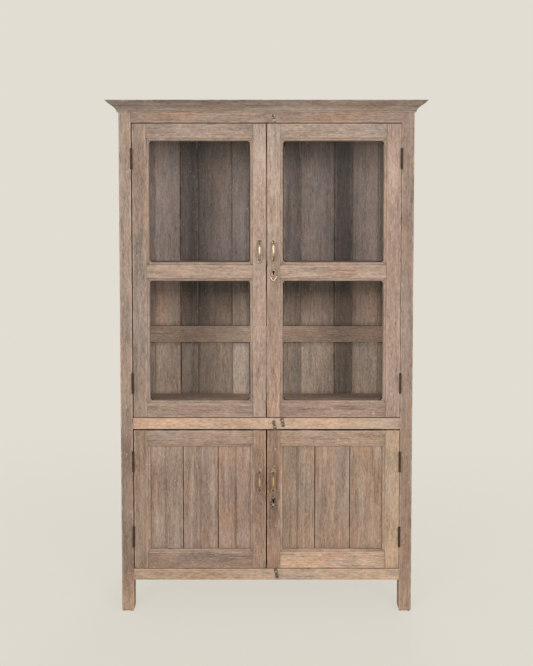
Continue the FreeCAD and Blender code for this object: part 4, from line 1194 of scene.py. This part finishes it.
for door, tones in BOARD_TONES.items():
    low, high = corners(f"{door}_boards")
    edges = np.linspace(low[0], high[0], BOARDS + 1)
    made = []
    across = graded(COLUMN_PLACES[door], COLUMN_SHARES[door], 0)
    for left, right, tone, fill in zip(edges, edges[1:], tones, GROOVE_FILLS[door]):
        made.append(grooved_board((left, *low[1:]), (right, *high[1:]), drifting(tone, across), *fill))
    piece(f"{door}_boards_timber", made, panel_teak, door, "panel_wood", f"{door}_boards")
print("boards in a lower door", len(made))

# %% [markdown]
# ## Metal and glass finishes
#
# Brass that is handled stays bright where fingers rub it and turns brown elsewhere, with patches of
# a paler stain. Hinges are browned iron and the lock is dull steel. One function makes them all: a
# bright metal, with tarnish and stain laid over it where the mark called rub_and_highlight is low.
# On the pulls and the keyhole plates that mark also holds painted highlights.

# %% Build brass, iron and steel
def metal(name, bright, tarnish, stain, rough, grime):
    """A metal that is bright where it is rubbed or a highlight is painted, with tarnish and stain in patches
    of noise.
    """
    finish, tree = bare_finish(name)
    here = tree.node("ShaderNodeTexCoord", None, None, "Object")
    rub_and_highlight = tree.node("ShaderNodeAttribute", {"attribute_name": "rub_and_highlight"}, output="Fac")

    def mottle(scale, detail=3.0):
        return tree.node("ShaderNodeTexNoise", None, {"Vector": here, "Scale": scale, "Detail": detail})

    clouds = mottle(210.0)
    specks = mottle(900.0, 2.0)
    dull = (1.0 - rub_and_highlight) * (clouds + (specks - 0.5) * 0.5).rise(0.24, 0.56) * grime
    colour = dull.over(bright, tarnish)
    patch = (1.0 - rub_and_highlight) * mottle(330.0).rise(0.55, 0.72) * 0.6
    colour = patch.over(colour, stain)
    relief = tree.node("ShaderNodeBump", None, {
        "Strength": 0.25, "Distance": 0.0003, "Height": clouds + specks})
    surface = tree.node("ShaderNodeBsdfPrincipled", None, {
        "Base Color": colour, "Roughness": rough + dull * 0.30 + (specks - 0.5) * 0.2,
        "Metallic": 1.0 - dull * 0.35 - patch * 0.6, "Normal": relief})
    tree.node("ShaderNodeOutputMaterial", None, {"Surface": surface})
    return finish


pull_brass = metal("pull_brass", paint(208, 188, 164), paint(84, 66, 52), paint(178, 172, 160), 0.32, 0.95)
button_brass = metal("button_brass", paint(190, 174, 150), paint(54, 44, 38), paint(126, 112, 96), 0.34, 0.97)
plate_brass = metal("plate_brass", paint(224, 198, 170), paint(80, 58, 44), paint(150, 122, 96), 0.30, 0.95)
bow_brass = metal("bow_brass", paint(236, 210, 180), paint(78, 52, 34), paint(124, 92, 62), 0.30, 0.97)
amber_brass = metal("amber_brass", paint(222, 190, 148), paint(70, 45, 28), paint(118, 84, 54), 0.28, 0.97)
hinge_iron = metal("hinge_iron", paint(104, 86, 76), paint(62, 50, 43), paint(104, 76, 60), 0.5, 0.9)
keyhole_shadow_iron = metal("keyhole_shadow_iron", paint(46, 37, 31), paint(26, 21, 18), paint(44, 33, 26), 0.6, 0.9)
lock_steel = metal("lock_steel", paint(150, 146, 140), paint(92, 84, 76), paint(110, 84, 66), 0.4, 0.7)
print("nodes in a metal", len(bow_brass.node_tree.nodes))

# %% [markdown]
# A pane lets light straight through and adds a reflection that grows towards the edge of sight, soft
# because old glass is dusty. That is mixed from two shaders, because a solid glass shader would keep
# the studio light out of the cupboard.

# %% Build the glass
STRAIGHT_ON = 0.014
AT_THE_EDGE = 0.98


def clear_glass(name):
    """Straight transmission, with a reflection that grows by the fifth power of the slant."""
    finish, tree = bare_finish(name)
    slant = tree.node("ShaderNodeLayerWeight", None, {"Blend": 0.5}, "Facing")
    through = tree.node("ShaderNodeBsdfTransparent", None, {"Color": (0.972, 0.970, 0.968, 1.0)})
    gloss = tree.node("ShaderNodeBsdfPrincipled", None, {
        "Base Color": (0.9, 0.93, 0.92, 1.0), "Metallic": 1.0, "Roughness": 0.22})
    share = STRAIGHT_ON + AT_THE_EDGE * slant ** 5.0
    surface = tree.node("ShaderNodeMixShader", None, {0: share, 1: through, 2: gloss})
    tree.node("ShaderNodeOutputMaterial", None, {"Surface": surface})
    return finish


pane_glass = clear_glass("pane_glass")
print("nodes in the glass", len(pane_glass.node_tree.nodes))

# %% [markdown]
# Hinges, locks and panes have the right shape already in the CAD model, so these nodes stay as they
# are and only get a finish.

# %% Give the kept CAD nodes their finishes
KEPT = {hinge_iron: ["frame_hinge_leaves", "hinge_pins"], lock_steel: [], pane_glass: []}
for door in DOOR_TONES:
    KEPT[hinge_iron].append(f"{door}_hinge_leaves")
for stage in ("upper", "lower"):
    KEPT[lock_steel] += [f"{stage}_right_door_lock_case", f"{stage}_right_door_lock_bolt"]
for hand in ("left", "right"):
    KEPT[pane_glass].append(f"upper_{hand}_door_glass")
for finish, nodes in KEPT.items():
    for node in nodes:
        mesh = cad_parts[node].data
        mesh.materials.clear()
        mesh.materials.append(finish)
print("kept nodes", sum(len(nodes) for nodes in KEPT.values()))

# %% [markdown]
# ## Bow pulls
#
# A pull is a cast brass bow, broad in the middle and thin and brown at its ends, where it
# springs from two small leaf plates. The bow is an oval carried along a rounded arch, and it swells
# towards the middle, with a little collar near each foot. A bent tube of one radius would look like
# wire. The front of the bow's middle is bright, rubbed by hands and with a painted highlight, and its
# sides are painted darker as shade. The upper pulls have more of it than the lower ones, whose brass
# is deeper in colour.

# %% Bow of a pull
NO_GRAIN = np.zeros(3)
NO_TONE = np.ones(3) * 0.4


def bow(x, z, half, reach, handled):
    """An oval carried along a squared arch, with a radius that swells towards the middle.

    With an angle from 0 to pi, height is the power 0.8 of its cosine and standing out is the power
    0.60 of its sine. The radius adds a swelling by the sine and a narrow collar near each foot, and
    it is a third larger sideways. Rubbing with a painted highlight is a bell curve over the angle,
    times a cosine that fades from the front to the sides, where it leaves painted shade, times how
    much the pull is handled and lit.
    """
    angle = np.linspace(0.0, np.pi, 49)
    height = half * np.sign(np.cos(angle)) * np.abs(np.cos(angle)) ** 0.8
    out = reach * np.sin(angle).clip(0) ** 0.60
    path = np.stack([np.full_like(angle, x), FRONT - 0.001 - out, z + height], axis=1)
    ahead = np.gradient(path, axis=0)
    ahead /= np.linalg.norm(ahead, axis=1, keepdims=True)
    aside = np.array([1.0, 0.0, 0.0])
    up = np.cross(ahead, aside)
    swell = np.sin(angle).clip(0)
    collar = np.exp(-((swell - 0.42) / 0.05) ** 2)
    radius = 0.0020 + 0.0015 * swell ** 3 + 0.0009 * collar
    round_it = np.linspace(0, 2 * np.pi, 20, endpoint=False)
    ring = np.cos(round_it)[:, None] * up[:, None] + 1.33 * np.sin(round_it)[:, None] * aside
    place = path[:, None] + radius[:, None, None] * ring
    # Painted highlight with rubbing on the front of the middle; the sides stay dark as painted shade.
    middle_rub_and_highlight = np.exp(-((angle - 1.50) / 0.40) ** 2)[:, None]
    front_rub_and_highlight = np.cos(round_it).clip(0) ** 0.7
    return part(place, NO_GRAIN, NO_TONE, handled * middle_rub_and_highlight * front_rub_and_highlight, 0.0)


print("points on a bow", len(bow(0.0, 0.0, 0.03, 0.02, 1.0)["place"]))

# %% [markdown]
# The leaves are thin castings with a scalloped edge and faint veins. Flat cut-outs would catch no
# light, so each one is a low dome over a lobed outline. A pull's height and reach come from the CAD
# node, less the room that the leaves' tips and the thickness of the bow need.

# %% Leaves, and the pulls on their doors
LOBES = 7
LEAF_SIZE = (0.0245, 0.0180, 0.0026)
LEAF_ROOM = 0.010
BOW_ROOM = 0.0048
HANDLED_AND_LIT = {"upper": 1.0, "lower": 0.88}
BOW_FINISH = {"upper": bow_brass, "lower": amber_brass}


def leaf(x, z, upward, length, width, rise):
    """A low dome over a lobed outline: rows shrink to the middle as height grows as a quarter round.

    The outline is an ellipse, narrower at its tip, whose radius is scalloped by a cosine.
    """
    angle = np.linspace(0, 2 * np.pi, 60, endpoint=False)
    lobes = np.cos(LOBES * angle)
    scallop = 1 + 0.07 * lobes
    across = width / 2 * np.sin(angle) * scallop * (1 - 0.25 * np.cos(angle))
    along = length / 2 * np.cos(angle) * scallop
    share = np.array([1.0, 1.0, 0.96, 0.86, 0.70, 0.5, 0.28, 0.06])
    lift = rise * np.array([0.0, 0.35, 0.55, 0.72, 0.82, 0.92, 1.0, 1.02])
    vein = 0.14 * rise * lobes * (share * (1 - share) * 4)[:, None]
    place = np.empty((len(share), len(angle), 3))
    place[..., 0] = x + share[:, None] * across
    place[..., 1] = FRONT - lift[:, None] - vein
    place[..., 2] = z + upward * share[:, None] * along
    rub = np.clip(0.15 + 0.5 * (lobes * 0.5 + 0.5) * share[:, None], 0, 1)
    return part(place, NO_GRAIN, NO_TONE, rub, 0.0)


for door in DOOR_TONES:
    low, high = corners(f"{door}_pull")
    x, z = (low[0] + high[0]) / 2, (low[2] + high[2]) / 2
    half = (high[2] - low[2]) / 2 - LEAF_ROOM
    reach = high[1] - low[1] - BOW_ROOM
    leaves = [leaf(x, z + side * (half + 0.002), side, *LEAF_SIZE) for side in (-1, 1)]
    arch = bow(x, z, half, reach, HANDLED_AND_LIT[door[:5]])
    piece(f"{door}_pull_bow", [arch], BOW_FINISH[door[:5]], door, "fitting_brass", f"{door}_pull")
    piece(f"{door}_pull_leaves", leaves, pull_brass, door, "fitting_brass", f"{door}_pull")
print("pull half height and reach", round(half, 4), round(reach, 4))

# %% [markdown]
# ## Keyhole plates
#
# Each right-hand door has a pressed brass plate: a narrow head round the keyhole, a boss below it and
# a scalloped skirt. The plate is a ring of rows between two outlines, the keyhole's and the plate's
# own, with a raised rim and a thin dark edge round it, grime and a painted shadow. The upper plate's
# rim is rubbed bright and carries a painted highlight, and the lower plate is tarnished but for its
# boss, which carries one too. A very dark iron face at the bottom of the keyhole is painted shade for
# the inside of the lock.

# %% Outlines of small fittings
def smooth_loop(points, steps):
    """A closed curve through points: each span is a cubic that leaves along its neighbours' line."""
    at = np.array(points, float)
    before, after, last = np.roll(at, 1, axis=0), np.roll(at, -1, axis=0), np.roll(at, -2, axis=0)
    t = np.linspace(0, 1, steps, endpoint=False)[:, None, None]
    curve = at + 0.5 * t * (after - before + t * (2 * before - 5 * at + 4 * after - last
                            + t * (3 * (at - after) + last - before)))
    return curve.transpose(1, 0, 2).reshape(-1, 2)


def even_loop(points, count):
    """Points at even steps round a closed outline."""
    closed = np.vstack([points, points[:1]])
    run = np.append(0, np.cumsum(np.hypot(*np.diff(closed, axis=0).T)))
    steps = np.linspace(0, run[-1], count, endpoint=False)
    return np.stack([np.interp(steps, run, closed[:, 0]), np.interp(steps, run, closed[:, 1])], axis=1)


def mirrored(half):
    """A whole outline from its right half, which runs from the top to the bottom."""
    half = np.array(half) / 1000
    return np.vstack([half, half[-2:0:-1] * (-1, 1)])


PLATE = mirrored([(0, 13), (5, 12), (8, 7), (7.2, 0.5), (8.2, -6), (11.5, -11), (14.4, -18.5), (12.8, -25),
                  (8.4, -26.6), (7.6, -31), (4.2, -34.4), (0, -36)])
SLOT = mirrored([(0, 4.6), (2.3, 4.0), (4.0, 2.3), (4.6, 0), (4.0, -2.3), (2.7, -3.6), (2.7, -11.6),
                 (0, -11.6)])
print("points of the plate and the keyhole", len(PLATE), len(SLOT))

# %% [markdown]
# Plates, bosses and buttons are all made of rows that go from an inner outline to an outer one. A
# row's share says how far out it lies and its lift how high, so the two lists together are the cross
# section of the pressing.

# %% Rows and domes
def rows_between(inner, outer, shares, lifts, x, z):
    """Rows that go from an inner outline to an outer one, each lifted from the door's face."""
    flat = inner + (outer - inner) * np.array(shares)[:, None, None]
    place = np.empty((*flat.shape[:2], 3))
    place[..., 0] = x + flat[..., 0]
    place[..., 1] = FRONT - np.array(lifts)[:, None]
    place[..., 2] = z + flat[..., 1]
    return place


def dome(x, z, radius, base, rise, rub):
    """Rows of circles that shrink by a cosine as they lift by a sine."""
    angle = np.linspace(0, 2 * np.pi, 28, endpoint=False)
    rim = radius * np.stack([np.sin(angle), np.cos(angle)], axis=1)
    climb = np.linspace(0, 0.97 * np.pi / 2, 8)
    lifts = np.append(0.0, base + rise * np.sin(climb))
    shares = np.append(1.0, np.cos(climb))
    return part(rows_between(0 * rim, rim, shares, lifts, x, z), NO_GRAIN, NO_TONE, rub, 0.0)


print("points on a dome", len(dome(0.0, 0.0, 0.005, 0.0, 0.002, 0.0)["place"]))

# %% [markdown]
# A plate's rows start on the door inside the keyhole, go up the rolled edge, over the flat field and
# the rim, and down to the door. The last rows are the thin dark edge, grime and painted shadow. Rivets
# and a boss lie on it.

# %% Plates, bosses and keyhole faces
LOOP = 120
# Rubs on the rim rows are rubbing and a painted highlight; the last rows are a painted dark edge.
PLATE_ROWS = [0.0, 0.0, 0.06, 0.16, 0.5, 0.76, 0.83, 0.90, 0.96, 0.98, 1.0, 1.10, 1.11]
PLATE_LIFTS = np.array([0.0, 1.3, 1.7, 1.2, 1.15, 1.25, 1.75, 2.0, 1.7, 1.2, 0.4, 0.3, 0.0]) / 1000
PLATE_RUBS_AND_HIGHLIGHTS = np.array([0.0, 0.3, 0.8, 0.3, 0.1, 0.2, 0.8, 1.0, 0.9, 0.2, 0.0, 0.0, 0.0])[:, None]
WELL_ROWS = [1.04, 1.04, 0.5, 0.05]
WELL_LIFTS = np.array([0.0, 0.2, 0.25, 0.3]) / 1000
BOSS = (0.0047, 0.0012, 0.0026)
RIVET = (0.0015, 0.0012, 0.0009, 0.4)
HEAD_RIVET = (0.0016, 0.0012, 0.0009, 0.4)
RUBBING_AND_HIGHLIGHT = {"upper": 0.95, "lower": 0.35}
BOSS_RUBBING_AND_HIGHLIGHT = {"upper": 0.2, "lower": 0.7}
PLATE_FINISH = {"upper": plate_brass, "lower": button_brass}
for stage in ("upper", "lower"):
    door = f"{stage}_right_door"
    low, high = corners(f"{door}_keyhole_plate")
    x, z = (low[0] + high[0]) / 2, high[2] - PLATE[:, 1].max()
    inner = even_loop(SLOT, LOOP)
    outer = even_loop(smooth_loop(PLATE, 12), LOOP)
    rows = rows_between(inner, outer, PLATE_ROWS, PLATE_LIFTS, x, z)
    plate = part(rows, NO_GRAIN, NO_TONE, RUBBING_AND_HIGHLIGHT[stage] * PLATE_RUBS_AND_HIGHLIGHTS, 0.0, ring=True)
    bosses = [dome(x, z - 0.0185, *BOSS, BOSS_RUBBING_AND_HIGHLIGHT[stage]), dome(x, z + 0.0090, *HEAD_RIVET)]
    bosses += [dome(x + side * 0.0093, z - 0.0215, *RIVET) for side in (-1, 1)]
    piece(f"{door}_keyhole_plate_brass", [plate, *bosses], PLATE_FINISH[stage], door, "fitting_brass",
          f"{door}_keyhole_plate")
    # The well's floor is a dark iron face: painted shade for the inside of the lock.
    rows = rows_between(0 * inner + (0, -0.002), inner, WELL_ROWS, WELL_LIFTS, x, z)
    well = part(rows, NO_GRAIN, NO_TONE, 0.0, 1.0)
    piece(f"{door}_keyhole_shadow_face", [well], keyhole_shadow_iron, door, "lock_iron")
print("keyhole at", round(x, 4), round(z, 4))

# %% [markdown]
# ## Turn buttons
#
# Four small cast buttons sit on screws in the rails. Turned half round, their long ends lap over the
# doors and hold them shut. A button is waisted, with a rounded end on each side of its screw, so its
# outline is a smooth loop through a few points. Rows step in from that outline and lift, which rounds
# its edges. The screw heads are slotted domes.

# %% Buttons
BUTTON = mirrored([(0, 25), (5.6, 23.3), (7.6, 19), (6.4, 12.5), (5.6, 6), (6.2, 0), (7.2, -5), (5.0, -9.6),
                   (0, -11)])
TILT = math.radians(13)
LONG_END_UP = {"turn_button_top": 1, "turn_button_upper": -1, "turn_button_lower": 1,
               "turn_button_bottom": -1}
screws = solid_boxes("turn_button_screws")
pivots = [((low[0] + high[0]) / 2, (low[2] + high[2]) / 2, low[1]) for low, high in screws]


def waisted_button(node, upward):
    """The outline, turned by the tilt, with rows that step in as they lift to a crowned face."""
    low, high = corners(node)
    middle = (low + high) / 2
    x, z, _ = min(pivots, key=lambda pivot: abs(pivot[0] - middle[0]) + abs(pivot[1] - middle[2]))
    flat = even_loop(smooth_loop(BUTTON, 10), 72) * (1, upward)
    turned = np.stack([flat[:, 0] * math.cos(TILT) - flat[:, 1] * math.sin(TILT),
                       flat[:, 0] * math.sin(TILT) + flat[:, 1] * math.cos(TILT)], axis=1)
    along = np.array([-math.sin(TILT), math.cos(TILT)])
    spine = (turned @ along)[:, None] * along * 0.82
    gap = FRONT - high[1]
    thick = high[1] - low[1]
    shares = [0.0, 0.6, 1.0, 1.0, 0.93, 0.78, 0.45, 0.05]
    lifts = gap + thick * np.array([0.0, 0.0, 0.02, 0.55, 0.85, 0.96, 1.0, 1.0])
    rub = np.array([0.0, 0.0, 0.0, 0.3, 0.6, 0.3, 0.1, 0.05])[:, None]
    return part(rows_between(spine, turned, shares, lifts, x, z), NO_GRAIN, NO_TONE, rub, 0.0)


for node, upward in LONG_END_UP.items():
    piece(f"{node}_brass", [waisted_button(node, upward)], button_brass, node, "button_brass", node)
print("buttons", len(LONG_END_UP))

# %% [markdown]
# A screw's head is a low dome on a shank. Its slot could be cut out, but lowering the points in a
# narrow straight band gives a slot as well and keeps the rows whole.

# %% Screws
HEAD_RADII = np.array([1.8, 1.8, 4.2, 4.2, 4.0, 3.4, 2.4, 1.2, 0.1])[:, None] / 1000
HEAD_DROPS = np.array([1.8, 1.8, 1.0, 0.6, 0.3, 0.1, 0.0, 0.0]) / 1000
SLOT_HALF = 0.00055
SLOT_DEEP = 0.0007
RIM_RADIUS = 0.0041


def slotted_head(x, z, front):
    """A low dome whose middle is lowered in a narrow straight slot, on a plain shank."""
    angle = np.linspace(0, 2 * np.pi, 48, endpoint=False)
    lift = np.append(0.0, FRONT - front - HEAD_DROPS)[:, None]
    aside = HEAD_RADII * np.cos(angle)
    slot = (np.abs(aside) < SLOT_HALF) & (HEAD_RADII < RIM_RADIUS)
    place = np.stack([x + aside, FRONT - lift + slot * SLOT_DEEP, z + HEAD_RADII * np.sin(angle)], axis=-1)
    return part(place, NO_GRAIN, NO_TONE, 0.75, 0.0)


heads = [slotted_head(*pivot) for pivot in pivots]
piece("turn_button_screws_brass", heads, button_brass, "carcass", "button_brass", "turn_button_screws")
print("screws", len(heads))

# %% [markdown]
# ## Studio
#
# The cupboard stands on a pale cream floor that runs out into a cream surround. A wall would stand in
# the way of a camera that goes round the back, so the surround is the world itself, and the floor
# takes on the same cream with distance. Near the cupboard the floor is lit like any floor, so that
# the shadow stays.

# %% Finish of the floor
CREAM = paint(225, 221, 210)
finish, tree = bare_finish("cream_floor")
here = tree.node("ShaderNodeTexCoord", None, None, "Object")
fleck = tree.node("ShaderNodeTexNoise", None, {"Vector": here, "Scale": 45.0, "Detail": 3.0})
cloth = ((fleck - 0.4) * 0.25).over(CREAM, paint(208, 203, 191))
matt = tree.node("ShaderNodeBsdfPrincipled", None, {
    "Base Color": cloth, "Roughness": 0.9, "Specular IOR Level": 0.1})
glow = tree.node("ShaderNodeEmission", None, {"Color": CREAM, "Strength": 1.0})


def seen_straight(tree):
    """1 for rays from the camera, and for those that metal and glass send on."""
    rays = [tree.node("ShaderNodeLightPath", None, None, ray)
            for ray in ("Is Camera Ray", "Is Glossy Ray", "Is Transmission Ray")]
    return tree.math("MINIMUM", rays[0] + rays[1] + rays[2], 1.0)


away = tree.node("ShaderNodeVectorMath", {"operation": "LENGTH"}, {0: here}, "Value")
NEAR_GLOW = 0.79
share = seen_straight(tree) * (NEAR_GLOW + (1 - NEAR_GLOW) * away.rise(0.8, 3.2))
surface = tree.node("ShaderNodeMixShader", None, {0: share, 1: matt, 2: glow})
tree.node("ShaderNodeOutputMaterial", None, {"Surface": surface})
print("floor glows by", NEAR_GLOW, "near the cupboard")

# %% [markdown]
# The floor is a disc of a few rings of points, wide enough that its edge is out of sight.

# %% Floor
FLOOR_REACH = 30.0
CORNERS = 64
angle = np.linspace(0, 2 * np.pi, CORNERS, endpoint=False)
spread = np.array([0.4, 1.5, 4.0, FLOOR_REACH])[:, None]
rings = np.stack([spread * np.cos(angle), spread * np.sin(angle), 0 * spread * angle], axis=-1)
number = np.arange(spread.size * CORNERS).reshape(-1, CORNERS)
beside = np.roll(number, -1, axis=1)
quads = np.stack([number[:-1], number[1:], beside[1:], beside[:-1]], axis=-1).reshape(-1, 4)
mesh = bpy.data.meshes.new("cream_floor")
mesh.from_pydata(rings.reshape(-1, 3).tolist(), [], quads.tolist() + [number[0].tolist()])
mesh.materials.append(finish)
floor = bpy.data.objects.new("cream_floor", mesh)
bpy.context.collection.objects.link(floor)
print("floor reaches", FLOOR_REACH, "m")

# %% [markdown]
# The camera sees a plain cream surround. What it throws on the cupboard is a softer light, a little
# stronger from above and strongest from the photographer's side, so that no shadow in front is black.

# %% Surround
sky = bpy.data.worlds.new("cream_surround")
sky.use_nodes = True
sky.node_tree.nodes.clear()
tree = Wire(sky.node_tree)
way = tree.node("ShaderNodeTexCoord", None, None, "Generated")
upward = tree.node("ShaderNodeSeparateXYZ", None, {0: way}, "Z")
backward = tree.node("ShaderNodeSeparateXYZ", None, {0: way}, "Y")
fill = 0.26 + 0.20 * upward.rise(-0.1, 0.8) + 0.52 * backward.rise(-0.45, -1.0)
soft = tree.node("ShaderNodeBackground", None, {"Color": (1.0, 0.985, 0.965, 1.0), "Strength": fill})
seen = tree.node("ShaderNodeBackground", None, {"Color": CREAM, "Strength": 1.0})
surround = tree.node("ShaderNodeMixShader", None, {0: seen_straight(tree), 1: soft, 2: seen})
tree.node("ShaderNodeOutputWorld", None, {"Surface": surround})
bpy.context.scene.world = sky
bpy.context.scene.view_settings.view_transform = "Standard"
print("nodes of the surround", len(sky.node_tree.nodes))

# %% [markdown]
# ## Lamps
#
# Two equal soft lamps stand to the left and right of the camera, as for copying a painting. Each
# throws a soft shadow of the meeting stiles on the back, near the middle of a pane. The lamp behind
# the cupboard is only for views from the back.

# %% Lamps
LAMPS = {
    "left_lamp": ((-2.14, -3.63, 2.30), (0.0, FRONT, 0.95), 1.6, 49.5),
    "right_lamp": ((2.06, -3.68, 2.30), (0.0, FRONT, 0.95), 1.6, 49.5),
    "back_lamp": ((0.6, 4.2, 2.9), (0.0, BACK, 0.95), 2.2, 95.0),
}
for name, (stand, aim, size, power) in LAMPS.items():
    lamp = bpy.data.lights.new(name, "AREA")
    lamp.shape = "DISK"
    lamp.size = size
    lamp.energy = power
    holder = bpy.data.objects.new(name, lamp)
    holder.location = stand
    way = (np.array(aim) - np.array(stand)) / math.dist(aim, stand)
    holder.rotation_euler = (math.acos(-way[2]), 0.0, math.atan2(-way[0], way[1]))
    bpy.context.collection.objects.link(holder)
print("lamps", {name: value[3] for name, value in LAMPS.items()})

# %% [markdown]
# ## Camera
#
# The camera stands where the photographer stood: a little under three metres away, at head height,
# tilted down slightly, with the lens shifted down so that the whole cupboard is in the picture.

# %% Camera
eye = bpy.data.cameras.new("photographer")
eye.lens = 42.76
eye.shift_y = -0.131
camera = bpy.data.objects.new("photographer", eye)
camera.location = (0.0, FRONT - 2.95, 1.523)
camera.rotation_euler = (math.radians(90 - 2.5), 0.0, 0.0)
bpy.context.collection.objects.link(camera)
bpy.context.scene.camera = camera
print("camera at", [round(value, 3) for value in camera.location])

# %% [markdown]
# ## Size
#
# The looks must not make the cupboard larger.
